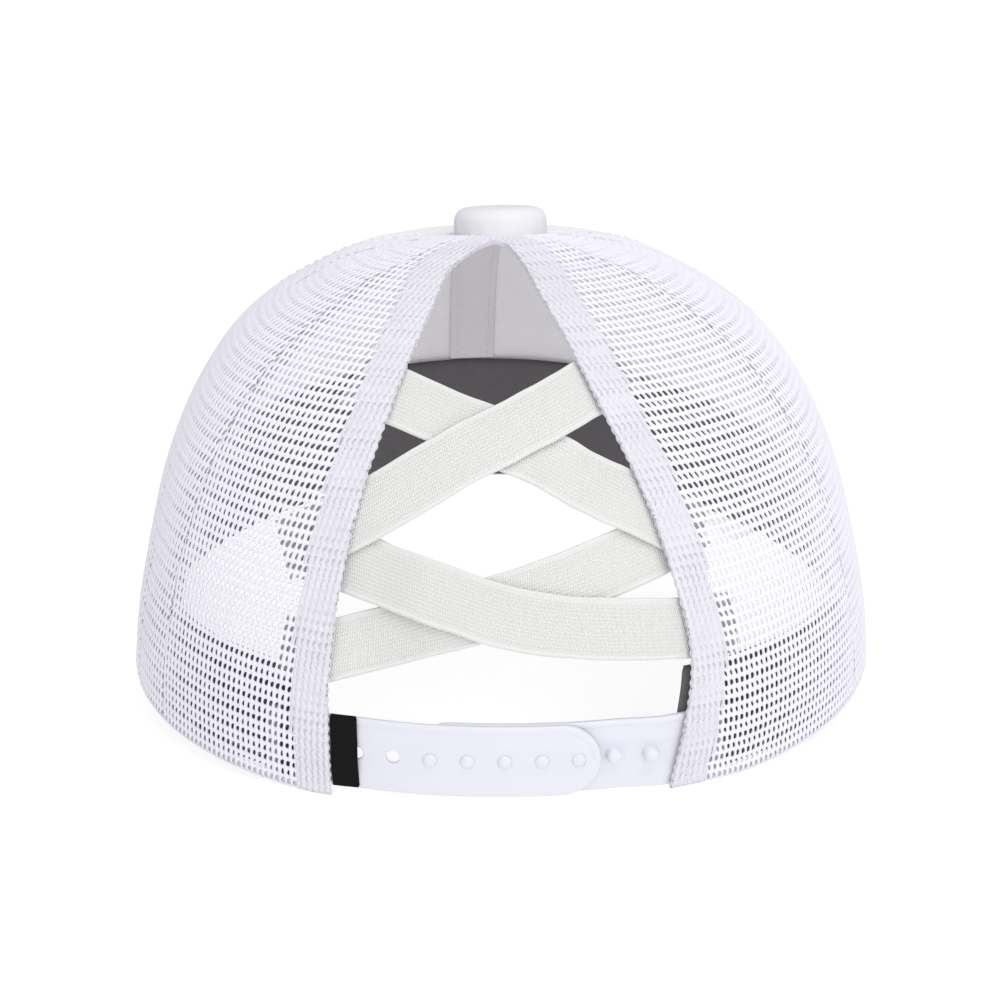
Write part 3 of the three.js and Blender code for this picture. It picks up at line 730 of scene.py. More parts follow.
def border_walls(column, row):
    """Faces from the outer to the inner rim of each cell that has no neighbour on a side."""
    key = column * 4096 + row
    sides = (((7, 0), 4096), ((1, 2), 1), ((3, 4), -4096), ((5, 6), -1))
    walls = []
    for pair, step in sides:
        alone = np.flatnonzero(~np.isin(key + step, key)) * CELL_POINTS
        inner = alone + 4 * 8
        for k in pair:
            after = (k + 1) % 8
            walls.append(np.stack([inner + k, inner + after, alone + after, alone + k], -1))
    return np.concatenate(walls)


# %% [markdown]
# ## The turned-under edges and foot of the net
#
# Beside each seam the net's edge is turned under, a strip of white cloth close behind the holes.
# At the foot the net is folded up inside and sewn down. That fold is narrow beside the opening
# and deeper towards the front. Both are short bands laid behind the net.

# %% Turn the net's edges under
def edge_strip(cut, side, width, outer, thick, stations=140):
    """Turned-under cloth along one edge of a panel: a thin rounded strip close behind it."""
    ups = np.linspace(0.05, cut.height - 0.05, stations)
    offsets = np.linspace(0, width, 6)
    full = rounded(offsets - width / 2, width / 2, width * 0.3)
    middle = outer + thick / 2

    def place(up, offset, depth):
        share, low, high = cut.edges(up)
        limit = high if side > 0 else low
        scale = mm_per_degree(limit, share)
        step = np.minimum(offset + GAP / 2, np.abs(high - low) * scale * 0.5)
        return inside(limit - side * step / scale, share, depth)

    return band(place, ups, offsets, middle - thick / 2 * full, middle + thick / 2 * full)


# %% Turn up the net's foot
FOLD_BACK, FOLD_MORE = 1.6, 9.5  # its height at the back, and how much more it gets
FOLD_GROWS = (58, 84)  # degrees from the back between which it grows
FOLD_INSET = 1.15


def foot_fold(cut, stations):
    """A thin strip along the rim. Its height grows smoothly with the angle from the back."""
    spread = np.linspace(0, 1, stations)
    offsets = np.linspace(0, 1, 14)
    full = rounded(offsets - 0.5, 0.5, 0.12)

    def place(part, offset, depth):
        first = cut.low[0] + (cut.high[0] - cut.low[0]) * part
        height = FOLD_BACK + FOLD_MORE * ease(np.abs(first), *FOLD_GROWS)
        share, low, high = cut.edges(offset * height)
        return inside(low + (high - low) * part, share, depth)

    return band(place, spread, offsets, FOLD_INSET - 0.2 * full, FOLD_INSET + 0.2 * full)


# %% Knit the side and rear panels
NET_PANELS = ("side_mesh_left", "side_mesh_right", "rear_mesh_left", "rear_mesh_right")
STRIP_WIDTH, STRIP_INSET, STRIP_THICK = 3.4, 0.92, 0.3
net_pieces = {}
for number, name in enumerate(NET_PANELS):
    cut = CUTS[name]
    side = name.split("_")[-1]
    hem_side = {"rear_mesh_left": -1, "rear_mesh_right": 1}.get(name, 0)
    shared = {-1: 0, 1: 1, 0: None}[hem_side]
    parts = [knit(cut, side, 11 + number, HOLES[side], shared), foot_fold(cut, 90)]
    for edge in (1, -1):
        if edge != hem_side:
            parts.append(edge_strip(cut, edge, STRIP_WIDTH, STRIP_INSET, STRIP_THICK))
    net_pieces[name] = make_piece(name + "_net", *joined(*parts), NET, "mesh", [name])

# %% [markdown]
# ## The hems of the opening
#
# Along the arch the net is folded over twice. The outer layer is the same net, with its columns
# running on and drawn tight, so its holes are narrow slits between columns that zigzag. The
# layers behind close the slits, so they show as grooves. The folded edge is soft and a little
# scalloped where each row turns round it. At the top of the arch the right hem laps over the
# left one.

# %% Fold the opening's edges
HEM_THICK = 1.9
HEM_BACKING = 0.42


def hem_backing(cut, opening_side, stations=330, columns=26):
    """Folded layers behind the outer net. The relief is a groove between columns that sways with
    the rows, and the opening's edge bulges out at each row."""
    ups = np.linspace(0, cut.height, stations)
    offsets = np.linspace(0, 1, columns)
    up, offset = ups[:, None], offsets[None, :]
    width = 2 * cut.half_width
    sway = 0.3 * np.sin(up * TURN / ROW_PITCH)
    relief = 0.16 * np.cos((offset * width + sway) * TURN / COLUMN_PITCH)
    fold = quarter_round((1 - offset) * width / 0.95)
    middle = (HEM_BACKING + HEM_THICK) / 2 - 0.25 * (1 - fold)
    half = (HEM_THICK - HEM_BACKING) / 2
    outer = middle - half * fold + relief * fold
    inner = middle + half * fold + relief * 0.6 * fold

    def place(length, part, depth):
        share, low, high = cut.edges(length)
        near, far = (low, high) if opening_side < 0 else (high, low)
        bulge = 0.2 * np.sin(length * TURN / ROW_PITCH) * part**6
        scale = mm_per_degree((low + high) / 2, share)
        return inside(far + (near - far) * part + opening_side * bulge / scale, share, depth)

    return band(place, ups, offsets, outer, inner)


hems = {}
for number, (side, opening_side) in enumerate((("left", -1), ("right", 1))):
    name = "opening_hem_" + side
    layers = [
        knit(CUTS[name], side, 21 + number, HEM_HOLES, 1 if side == "left" else 0),
        hem_backing(CUTS[name], opening_side),
    ]
    # The hem's yarn is the net's colour darkened: painted shade.
    hems[name] = make_piece(name + "_knit", *joined(*layers), HEM_SHADED_YARN, "mesh", [name])

# %% [markdown]
# ## Front panels, sweatband and seam tape
#
# The front is plain cloth over foam, so its two panels are smooth shells. Behind them the centre
# seam is covered with a tape, and a dark sweatband runs round inside the rim. All three are seen
# from behind through the opening and through the net. Where the snap strap is sewn on at the left,
# the sweatband's end is turned up outside as a dark binding in the gap between the strap's end and
# the hem: partly the sweatband's own dark cloth, partly painted shade for that shaded gap.

# %% Sew the front panels
FRONT_WALL = 1.5


def spread_between(cut):
    """Lays (up, offset, depth) on the crown with the offset fitted between both edges."""

    def place(up, offset, depth):
        share, low, high = cut.edges(up)
        margin = SEAM_GAP / mm_per_degree((low + high) / 2, share)
        part = offset / (2 * cut.half_width) + 0.5
        return inside(low + margin + part * (high - low - 2 * margin), share, depth)

    return place


def shell(cut, wall, stations=90, columns=34):
    """A smooth panel with soft edges. Its surface swells and sinks by tenths of a millimetre."""
    ups = np.linspace(0, cut.height, stations)
    half = cut.half_width
    offsets = half * np.sin(np.linspace(-np.pi / 2, np.pi / 2, columns))
    full = rounded(offsets, half, 1.2)[None, :]
    up, offset = ups[:, None], offsets[None, :]
    swell = 0.16 * np.sin(up * 0.11 + offset * 0.05) * np.sin(offset * 0.09 - up * 0.03 + 1)
    outer = wall / 2 - wall / 2 * full + (swell + 0.16) * full
    inner = wall / 2 + wall / 2 * full + swell * full
    return band(spread_between(cut), ups, offsets, outer, inner)


fronts = {}
for name in ("front_panel_left", "front_panel_right"):
    fronts[name] = make_piece(
        name + "_twill", *shell(CUTS[name], FRONT_WALL), CLOTH, "cloth", [name]
    )

# %% Sew in the sweatband
SWEATBAND_BACK, SWEATBAND_FRONT = 31.0, 37.0
SWEATBAND_WALL, SWEATBAND_INSET = 1.4, 1.8
SWEATBAND_DEEPER = 2.2  # how much deeper it lies behind the straps' sewn ends
SWEATBAND_ROW = 4.2  # the height of its row of stitches


def arc_up(angle):
    """Arc length up the crown at one angle, for turning a height in millimetres into a share."""
    return measured(crown(angle, SHARES))


def sweatband():
    """A strip round the rim inside. Near the opening it lies deeper, behind the straps."""
    parts = np.linspace(0, 1, 260)
    half = SWEATBAND_FRONT / 2
    offsets = np.linspace(-half, half, 20)
    angles = np.arange(0, 361, 10)
    rise = ease(np.minimum(angles, 360 - angles), 60, 150)
    heights = SWEATBAND_BACK + (SWEATBAND_FRONT - SWEATBAND_BACK) * rise
    table = [np.interp(height, arc_up(angle), SHARES) for angle, height in zip(angles, heights)]

    def place(part, offset, depth):
        rough = 30 + part * 310
        top = np.interp(rough, angles, table)
        share = 0.006 + (offset / (2 * half) + 0.5) * (top - 0.006)
        start = edge_at("open_left", share) + 1.4
        end = 360 + edge_at("open_right", share)
        angle = start + part * (end - start)
        near = np.maximum(1 - ease(angle, 44, 56), ease(angle, 313, 325))
        return inside(angle, share, SWEATBAND_INSET + SWEATBAND_DEEPER * near + depth)

    full = rounded(offsets, half, 1.5)[None, :]
    stitched = groove(offsets + half - 4, 0.22, 0.7)[None, :]
    middle = SWEATBAND_WALL / 2
    inner = middle + (middle - stitched) * full
    return band(place, parts, offsets, middle - middle * full, inner)


# A strip of dark sweatband cloth outside, between the snap strap's end and the hem: painted shade
# for the shaded gap there, partly the sweatband's own end.
BINDING_SHADE_ANGLE, BINDING_SHADE_HALF, BINDING_SHADE_HEIGHTS = 38.3, 2.3, (1.0, 22.0)


def binding_and_gap_shade():
    """The sweatband's dark end, turned up outside over the sewn end of the snap strap. Lying in the
    gap between the strap's end and the hem, it is partly the sweatband's cloth and partly painted
    shade.
    """
    heights = np.linspace(*BINDING_SHADE_HEIGHTS, 40)
    offsets = np.linspace(-BINDING_SHADE_HALF, BINDING_SHADE_HALF, 10)
    full = rounded(offsets, BINDING_SHADE_HALF, 0.6)[None, :]

    def place(z, offset, depth):
        angle = BINDING_SHADE_ANGLE + offset / 1.75
        return inside(angle, share_at_height(angle, z), SWEATBAND_INSET + depth)

    return band(place, heights, offsets, -0.3 * full, 0.25 * full)


sweatband_piece = make_piece(
    "sweatband_twill", *joined(sweatband(), binding_and_gap_shade()), BAND, "band", ["sweatband"]
)

# %% Tape the centre seam
TAPE_WIDTH = 13.8
TAPE_INSET = 1.56
TAPE_TOP = 0.93
TAPE_ROWS = 4.9  # from its middle to each row of stitches


def tape():
    """A flat tape up the front's centre line, with two sewn channels beside its middle."""
    up = arc_up(180)
    ups = np.linspace(SWEATBAND_FRONT + GAP, np.interp(TAPE_TOP, SHARES, up), 130)
    offsets = np.linspace(-TAPE_WIDTH / 2, TAPE_WIDTH / 2, 28)
    full = rounded(offsets, TAPE_WIDTH / 2, 0.7)[None, :]
    sewn = groove(np.abs(offsets) - TAPE_ROWS, 0.10, 0.6)[None, :]
    ripple = 0.10 * np.sin(ups * 1.9)[:, None] * (np.abs(offsets) / TAPE_WIDTH)[None, :]

    def place(length, offset, depth):
        share = np.interp(length, up, SHARES)
        return inside(180 + offset / mm_per_degree(180, share), share, TAPE_INSET + depth)

    return band(place, ups, offsets, 0.0, 0.12 + (0.88 - sewn + ripple) * full)


tape_piece = make_piece("woven_seam_tape", *tape(), TAPE, "cloth", ["front_seam_tape"])

# %% [markdown]
# ## Crossed elastic straps
#
# Four ribbed elastics close the upper opening. Each is sewn behind one hem and crosses to the
# other, over or under its neighbours, so its depth changes on the way. Its middle line is a short
# table of angle, share and layer, and the ribbon lies square to that line on the crown.

# %% Where the straps run
OVER, BETWEEN, UNDER = 2.2, 3.6, 5.0
STRAP_WIDTH = 15.6
STRAP_WALL = 1.1
STRAPS = {
    "upper_strap_front": [
        (43, 0.375, OVER), (29.4, 0.44, OVER), (13.6, 0.52, OVER), (4.5, 0.556, OVER),
        (-5.6, 0.592, OVER), (-15, 0.623, OVER), (-25, 0.648, OVER),
    ],
    "upper_strap_back": [
        (37, 0.63, OVER), (25.8, 0.611, OVER), (14.1, 0.583, BETWEEN), (4.5, 0.554, BETWEEN),
        (-4.4, 0.522, BETWEEN), (-10, 0.493, BETWEEN), (-15, 0.467, OVER), (-21, 0.44, OVER),
        (-30, 0.395, OVER),
    ],
    "lower_strap_front": [
        (41, 0.388, BETWEEN), (30.4, 0.378, BETWEEN), (24, 0.365, BETWEEN), (18, 0.351, OVER),
        (12, 0.335, OVER), (5.2, 0.316, OVER), (-2.4, 0.301, OVER), (-10.2, 0.291, OVER),
        (-18.4, 0.282, OVER), (-25, 0.275, OVER), (-34, 0.268, OVER),
    ],
    "lower_strap_back": [
        (41, 0.243, OVER), (34, 0.25, OVER), (27, 0.27, UNDER), (20.7, 0.289, UNDER),
        (12.9, 0.31, BETWEEN), (5.2, 0.329, BETWEEN), (-2.7, 0.348, BETWEEN), (-11, 0.369, BETWEEN),
        (-21.8, 0.395, BETWEEN), (-30, 0.42, BETWEEN),
    ],
}
print("rows in the tables:", {name: len(rows) for name, rows in STRAPS.items()})


# %% Stretch the elastic straps
def strap_place(rows):
    """A sideways step in millimetres becomes a step in angle and share: two unknowns, solved from
    the crown's own directions at the middle line, a by angle and u by share."""
    rows = np.array(rows)

    def place(t, offset, depth):
        angle, share, layer = (smooth(rows[:, k], t) for k in range(3))
        before, after = np.clip(t - 0.01, 0, 1), np.clip(t + 0.01, 0, 1)
        ends = [crown(smooth(rows[:, 0], s), smooth(rows[:, 1], s)) for s in (before, after)]
        sideways = np.cross(unit(ends[1] - ends[0]), crown_normal(angle, share))
        target = sideways * offset[..., None]
        a = crown(angle + 0.5, share) - crown(angle - 0.5, share)
        u = (crown(angle, share + 0.005) - crown(angle, share - 0.005)) / 0.01
        aa, uu, au = (a * a).sum(-1), (u * u).sum(-1), (a * u).sum(-1)
        at, ut = (a * target).sum(-1), (u * target).sum(-1)
        whole = aa * uu - au * au
        angle_step, share_step = (at * uu - ut * au) / whole, (ut * aa - at * au) / whole
        return inside(angle + angle_step, share + share_step, layer + depth)

    return place


def elastic(rows, seed):
    """A ribbon with a groove inside each selvedge and edges that draw in a little now and then."""
    wave = np.random.default_rng(seed).uniform(0, TURN, 3)
    t = np.linspace(0, 1, 190)
    half = STRAP_WIDTH / 2
    offsets = half * np.sin(np.linspace(-np.pi / 2, np.pi / 2, 26))
    full = rounded(offsets, half, 0.7)[None, :]
    sunk = groove(half - np.abs(offsets) - 1.5, 0.2, 0.35)[None, :]
    course = 0.035 * np.cos(offsets * TURN / 1.7)[None, :]
    slack = 0.10 * np.sin(t * 19 + wave[0])[:, None] * (offsets / half)[None, :]
    middle = STRAP_WALL / 2
    thick = (middle - sunk - course - 0.04) * full
    place = strap_place(rows)

    def drawn_in(s, offset, depth):
        width = 1 + 0.008 * np.sin(s * 31 + wave[1]) + 0.006 * np.sin(s * 57 + wave[2])
        return place(s, offset * width, depth)

    return band(drawn_in, t, offsets, middle - thick + slack, middle + thick + slack)


straps = {
    name: make_piece(name + "_elastic", *elastic(rows, 31 + k), ELASTIC, "elastic", [name])
    for k, (name, rows) in enumerate(STRAPS.items())
}

# %% [markdown]
# ## The snap closure
#
# Two moulded plastic straps meet under the opening. The front one has a row of round holes and a
# rounded tip, the rear one has pegs that snap into them. A plate with holes is drawn flat first:
# a plain grid of columns and rows, where the square round each hole is swapped for rings that run
# from the round hole to the square. Then both faces are laid on the crown.

# %% Along the rim
SNAP_ANGLES = [-30, -19, -13, 4, 16, 27, 39]
SNAP_HEIGHTS = [9.65, 9.7, 9.9, 10.6, 11.0, 11.5, 11.4]
HOLES_INSETS = [2.2] * 7
PEG_INSETS = [2.2, 2.2, 4.0, 4.0, 4.0, 4.0, 4.0]
SNAP_HALF = 9.6
SNAP_WALL = 1.5
SNAP_PITCH = 9.25
HOLE_RADIUS = 1.75
NOSE = 9.6  # how long the rounded tip is
SQUARE = 3.4  # half the side of the square of rings round a hole
STEPS_PER_PITCH = 12
FIRST_HOLE = 26.7
CLOSURE_SHARE = 0.08  # lengths along the rim are measured at this share
LINE_ANGLES = np.linspace(60, -60, 481)
LINE_STEP = LINE_ANGLES[0] - LINE_ANGLES[1]
LINE_LENGTH = np.cumsum(mm_per_degree(LINE_ANGLES, CLOSURE_SHARE) * LINE_STEP)
LINE_LENGTH = LINE_LENGTH - LINE_LENGTH[0]


def length_at(angle):
    return np.interp(-angle, -LINE_ANGLES, LINE_LENGTH)


def snap_place(insets):
    """Length is measured from left to right along the rim, the offset straight up."""

    def place(length, offset, depth):
        angle = np.interp(length, LINE_LENGTH, LINE_ANGLES)
        z = np.interp(angle, SNAP_ANGLES, SNAP_HEIGHTS) + offset
        inset = np.interp(angle, SNAP_ANGLES, insets)
        return inside(angle, share_at_height(angle, z), inset + depth)

    return place


stud_lengths = length_at(FIRST_HOLE) + SNAP_PITCH * np.arange(9)
hole_lengths, peg_lengths = stud_lengths[:7], stud_lengths[2:]
print("from the first hole to the last peg:", round(float(np.ptp(stud_lengths)), 2), "mm")

# %% Columns and rows of the flat plate
SQUARE_ROWS = np.linspace(-SQUARE, SQUARE, STEPS_PER_PITCH + 1)
RIM_ROWS = np.array([4.2, 5.0, 5.8, 6.6, 7.4, 7.65, 7.9, 8.15, 8.6, 9.1, 9.4, 9.55, 9.6])
PLATE_ROWS = np.concatenate([-RIM_ROWS[::-1], SQUARE_ROWS, RIM_ROWS])


def plate_columns(start, end, holes, nose_side):
    """(each column's place, the plate's width there). Towards the nose, columns close up and the
    width falls as a half ellipse. Columns fit the squares round the holes."""
    step = SNAP_PITCH / STEPS_PER_PITCH
    turn = np.linspace(0, 1, 25)[1:] * np.pi / 2
    if nose_side > 0:
        anchor, grid_end = holes[0] - SQUARE, holes[-1] + SQUARE
        body = anchor - step * np.arange(1, math.ceil((anchor - start) / step))[::-1]
        between = np.linspace(SQUARE, SNAP_PITCH - SQUARE, 5)[1:-1]
        pattern = np.concatenate([SQUARE_ROWS, between])
        grid = (holes[:, None] + pattern).ravel()[:-len(between)]
        body = np.concatenate([[start], body, grid])
        column_u = np.concatenate([body, grid_end + (end - grid_end) * np.sin(turn)])
        column_w = np.sqrt(1 - (np.clip(column_u - end + NOSE, 0, NOSE) / NOSE) ** 2)
    else:
        body_start = start + NOSE
        body = np.append(np.arange(body_start, end - 0.3, step), end)
        column_u = np.concatenate([(body_start - NOSE * np.sin(turn))[::-1], body])
        column_w = np.concatenate([np.cos(turn)[::-1], np.ones(len(body))])
    return column_u, np.maximum(column_w, 1e-6)


def hole_rings():
    """(points, faces) of the square round one hole: rings from the circle out to the square."""
    side = np.linspace(-1, 1, STEPS_PER_PITCH + 1)[:-1]
    one = np.ones_like(side)
    sides = ((one, side), (-side, one), (-one, -side), (side, -one))
    square = np.concatenate([np.stack(pair, -1) for pair in sides]) * SQUARE
    part = np.array([0, 0.03, 0.08, 0.16, 0.32, 0.6, 1])[:, None, None]
    rings = unit(square) * HOLE_RADIUS * (1 - part) + square * part
    return rings.reshape(-1, 2), tube_faces(len(part), len(square))[:, TURNED]


# %% Draw the plate flat
def plate_flat(start, end, holes, nose_side):
    """The plate drawn flat: columns of points, the hole squares left out, and rings set in."""
    column_u, column_w = plate_columns(start, end, holes, nose_side)
    rows = len(PLATE_ROWS)
    v = column_w[:, None] * PLATE_ROWS[None, :]
    if len(holes):
        beyond = np.clip((np.abs(PLATE_ROWS) - SQUARE) / (SNAP_HALF - SQUARE), 0, 1)
        inner = np.clip(PLATE_ROWS, -SQUARE, SQUARE)[None, :]
        squared = inner + np.sign(PLATE_ROWS) * beyond * (column_w[:, None] * SNAP_HALF - SQUARE)
        last = np.searchsorted(column_u, holes[-1] + SQUARE - 0.001)
        v[:last + 1] = squared[:last + 1]
        v[last + 1:] = squared[last] * column_w[last + 1:, None] / column_w[last]
    points = np.stack([np.repeat(column_u[:, None], rows, 1), v], -1)
    i, j = np.meshgrid(np.arange(len(column_u) - 1), np.arange(rows - 1), indexing="ij")
    middle = (points[:-1, :-1] + points[1:, 1:]) / 2
    kept = np.ones(i.shape, bool)
    for hole in holes:
        kept &= (np.abs(middle - [hole, 0]) >= SQUARE).any(-1)
    i, j = i[kept], j[kept]
    corner, following = i * rows + j, (i + 1) * rows + j
    faces = np.stack([corner, following, following + 1, corner + 1], -1)
    points = points.reshape(-1, 2)
    rings, patch = hole_rings()
    for hole in holes:
        faces = np.concatenate([faces, patch + len(points)])
        points = np.concatenate([points, rings + [hole, 0]])
    first, back = merged(points)
    return points[first], back[faces]


# %% Give the plate its thickness
def plate(place, points, faces, outer, inner):
    """Both faces of a flat drawing, and a wall along each edge that only one face uses."""
    count = len(points)
    both = np.concatenate([
        place(points[:, 0], points[:, 1], outer), place(points[:, 0], points[:, 1], inner)
    ])
    edges = np.stack([faces, np.roll(faces, -1, axis=1)], -1).reshape(-1, 2)
    edges = edges[edges[:, 0] != edges[:, 1]]
    key = np.sort(edges, axis=1)
    _, index, times = np.unique(key, axis=0, return_inverse=True, return_counts=True)
    free = edges[times[index.reshape(-1)] == 1]
    walls = np.stack([free[:, 1], free[:, 0], free[:, 0] + count, free[:, 1] + count], -1)
    faces = np.concatenate([faces, faces[:, ::-1] + count, walls])
    return both, faces, np.concatenate([points, points])


PLATE_EDGE = 0.5  # the radius of its rounded edges


def snap_relief(points, start, end, holes, nose_side):
    """How far each face sinks: round edges, a raised border, and a rounded hole rim."""
    u, v = points.T
    nose = (u - (end - NOSE)) / NOSE if nose_side > 0 else ((start + NOSE) - u) / NOSE
    edge = SNAP_HALF * (1 - np.hypot(np.clip(nose, 0, None), v / SNAP_HALF))
    sink = PLATE_EDGE * (1 - quarter_round(edge / PLATE_EDGE))
    upper = 0.2 * ease(edge, 1.5, 1.9) + 0.13 * ease(edge, 6.2, 6.6)
    lower = 0.2 * ease(edge, 3.9, 4.3) + 0.13 * ease(edge, 5.8, 6.2)
    above = ease(v, -1.5, 1.5)
    sink = sink + upper * above + lower * (1 - above)
    for hole in holes:
        away = np.hypot(u - hole, v) - HOLE_RADIUS
        sink = sink + 0.12 * (1 - np.clip(away / 0.3, 0, 1)) ** 2
    return sink


def snap_plate(first_angle, last_angle, holes, nose_side, insets):
    """The whole plate between two angles, nose_side 1 or -1 for a nose at its end or start."""
    start, end = length_at(first_angle), length_at(last_angle)
    points, faces = plate_flat(start, end, holes, nose_side)
    sink = snap_relief(points, start, end, holes, nose_side)
    inner = SNAP_WALL - np.minimum(sink, PLATE_EDGE) * 0.6
    return plate(snap_place(insets), points, faces, sink, inner)


# %% Mould the pegs and both straps
PEG_PROFILE = np.array([
    [2.1, 0.3], [1.92, 0.0], [1.86, -0.6], [1.84, -1.5], [1.76, -1.85], [1.55, -2.12],
    [1.15, -2.33], [0.6, -2.45], [0.0, -2.49],
])
PEG_SIDES = 20
PEG_SUNK = 0.3  # how far it starts below the plate's face


def pegs(lengths, insets):
    """Each peg is a turned profile (radius, depth) with a rounded head, on the outer face."""
    turn = np.arange(PEG_SIDES) * TURN / PEG_SIDES
    u = PEG_PROFILE[:, 0, None] * np.cos(turn) + lengths[:, None, None]
    v = np.broadcast_to(PEG_PROFILE[:, 0, None] * np.sin(turn), u.shape)
    depth = np.broadcast_to(PEG_PROFILE[:, 1, None] + PEG_SUNK, u.shape)
    starts = (np.arange(len(lengths)) * len(PEG_PROFILE) * PEG_SIDES)[:, None, None]
    faces = (starts + tube_faces(len(PEG_PROFILE), PEG_SIDES)).reshape(-1, 4)
    return snap_place(insets)(u, v, depth), faces, np.stack([u, v], -1)


holes_strap = snap_plate(42.3, -9.5, hole_lengths, 1, HOLES_INSETS)
pegs_strap = joined(snap_plate(18.4, -30, [], -1, PEG_INSETS), pegs(peg_lengths, PEG_INSETS))
make_piece("snap_plate_with_holes", *holes_strap, PLASTIC, "snap", ["snap_strap_holes"])
make_piece("snap_plate_with_pegs", *pegs_strap, PLASTIC, "snap", ["snap_strap_pegs"])

# %% [markdown]
# ## The woven label and the covered button
#
# The label is a small black loop beside the opening, left bare. The button is a metal shell with
# cloth drawn over it, so its edge is round and its top nearly flat.

# %% Make the label
LABEL_ANGLE = 30.0
LABEL_FOOT, LABEL_TOP, LABEL_WIDTH = 2.4, 21.6, 6.4
LABEL_FOLD, LABEL_INSET = 0.32, 1.55


def label():
    """A strip of satin that runs out from the hem, turns back round a small half circle, and
    returns: its normal turns with it, and the strip's thickness lies along that normal."""
    run, turn_length = LABEL_WIDTH - LABEL_FOLD, np.pi * LABEL_FOLD
    strip = np.concatenate([
        np.linspace(0, run, 12), run + turn_length * np.linspace(0.1, 0.9, 8),
        run + turn_length + np.linspace(0, run, 12),
    ])
    heights = np.linspace(LABEL_FOOT, LABEL_TOP, 44)
    full = rounded(heights - heights.mean(), (LABEL_TOP - LABEL_FOOT) / 2, 0.5)[None, :]

    def place(length, z, depth):
        turned = np.clip((length - run) / turn_length, 0, 1) * np.pi - np.pi / 2
        back = np.clip(length - run - turn_length, 0, None)
        x = np.minimum(length, run) - back + (LABEL_FOLD + depth) * np.cos(turned)
        under = (LABEL_FOLD + depth) * np.sin(turned)
        share = share_at_height(LABEL_ANGLE, z)
        angle = edge_at("open_left", share) - (x + GAP) / mm_per_degree(LABEL_ANGLE, share)
        sag = 0.12 * np.sin(z * 0.55) + 0.05 * x
        return inside(angle, share_at_height(angle, z), LABEL_INSET + sag + under)

    return band(place, strip, heights, -0.2 * full, 0.2 * full)


label_piece = make_piece("label_loop", *label(), LABEL, "label", ["woven_label"])

# %% Cover the button
BUTTON_BASE = 119.8
BUTTON_X, BUTTON_Y = -1.2, -12.4
BUTTON_TILT = math.radians(10)  # it leans forward, as the crown's top does
BUTTON_PUCKERS = 17
BUTTON_PROFILE = np.array([
    [0.02, -2.0], [4.0, -2.0], [8.0, -2.0], [11.3, -1.9], [12.0, -1.4], [12.15, 0.0], [12.2, 1.2],
    [12.2, 2.4], [12.1, 3.6], [11.75, 4.7], [11.0, 5.7], [9.9, 6.35], [8.2, 6.7], [6.0, 6.85],
    [3.0, 6.93], [0.0, 6.95],
])


def button(around=96):
    """A turned profile whose flank puckers a little where the cloth is gathered under it."""
    t = np.linspace(0, 1, 52)
    radius, height = smooth(BUTTON_PROFILE[:, 0], t), smooth(BUTTON_PROFILE[:, 1], t)
    turn = np.arange(around) * TURN / around
    low = np.exp(-((height - 1.0) ** 2) / 2.5) * (radius > 9)
    pucker = 0.10 * low[:, None] * np.sin(turn * BUTTON_PUCKERS)[None, :]
    reach = np.maximum(radius, 0)[:, None] + pucker
    reach[[0, -1]] = 0
    points = np.stack([
        BUTTON_X + reach * np.sin(turn), BUTTON_Y + reach * np.cos(turn),
        BUTTON_BASE + height[:, None] + 0 * turn,
    ], -1)
    y, z = points[..., 1] - BUTTON_Y, points[..., 2] - BUTTON_BASE
    points[..., 1] = BUTTON_Y + y * math.cos(BUTTON_TILT) - z * math.sin(BUTTON_TILT)
    points[..., 2] = BUTTON_BASE + z * math.cos(BUTTON_TILT) + y * math.sin(BUTTON_TILT)
    steps = np.hypot(np.diff(radius), np.diff(height))
    spoke = np.concatenate([np.cumsum(steps[::-1])[::-1], [0]])[:, None]
    flat = np.stack([spoke * np.sin(turn), spoke * np.cos(turn)], -1)
    return points, tube_faces(len(t), around), flat


make_piece("covered_button", *button(), BUTTON_CLOTH, "cloth", ["top_button"])

# %% [markdown]
# ## The peak
#
# The peak is a board sewn into cloth, and it curves down at both sides. The crown hides it from
# the camera, but it is finished as the rest is: round edge, sewn rows. One parameter runs from
# side to side, the other from the crown to the free edge.

# %% Shape the peak
PEAK_EDGE = np.array([
    [0, -151, 31], [24, -149, 28.5], [47, -142, 19], [66, -128, 7.5], [79, -108, 0], [84, -86, 1.5],
    [84.5, -66, 11.5], [81.8, -46, 21.5],
])
PEAK_SPREAD = 55.5
PEAK_THICK = 3.0
PEAK_ARCH = 3.0
PEAK_REACH = 70.0
PEAK_ROWS_FROM_EDGE = 4.0 + 7.0 * np.arange(7)


def peak_place(side, up, depth):
    """The depth here is the height above the underside."""
    side, up, depth = np.broadcast_arrays(side, up, depth)
    out = np.abs(side)
    angle = 180 - side * PEAK_SPREAD
    ground = crown(angle, 0.0)[..., 2]
    share = share_at_height(angle, ground + depth)
    root = inside(angle, share, -0.3)
    edge = [smooth(PEAK_EDGE[:, k], out) for k in range(3)]
    free = np.stack([np.sign(side) * edge[0], edge[1], np.maximum(0, edge[2]) + depth], -1)
    up = up[..., None]
    arch = PEAK_ARCH * out[..., None] ** 2 * 4 * up * (1 - up)
    return root * (1 - up) + free * up + arch * np.array([0, 0, 1])


def peak_shell():
    sides = np.sin(np.linspace(-np.pi / 2, np.pi / 2, 130))
    ups = 1 - (1 - np.linspace(0, 1, 34)) ** 1.4
    from_edge = (1 - ups) * measured(peak_place(0.0, np.array([0.0, 1.0]), 0.0))[-1]
    sewn = groove(from_edge - PEAK_ROWS_FROM_EDGE[:, None], 0.22, 0.9).sum(0)
    half = PEAK_THICK / 2
    tips = np.sqrt(np.clip(1 - np.abs(sides) ** 40, 0.05, 1))[:, None]
    thick = (half * quarter_round(from_edge / 1.6) - sewn)[None, :] * tips
    return band(peak_place, sides, ups, half + thick, half - thick)


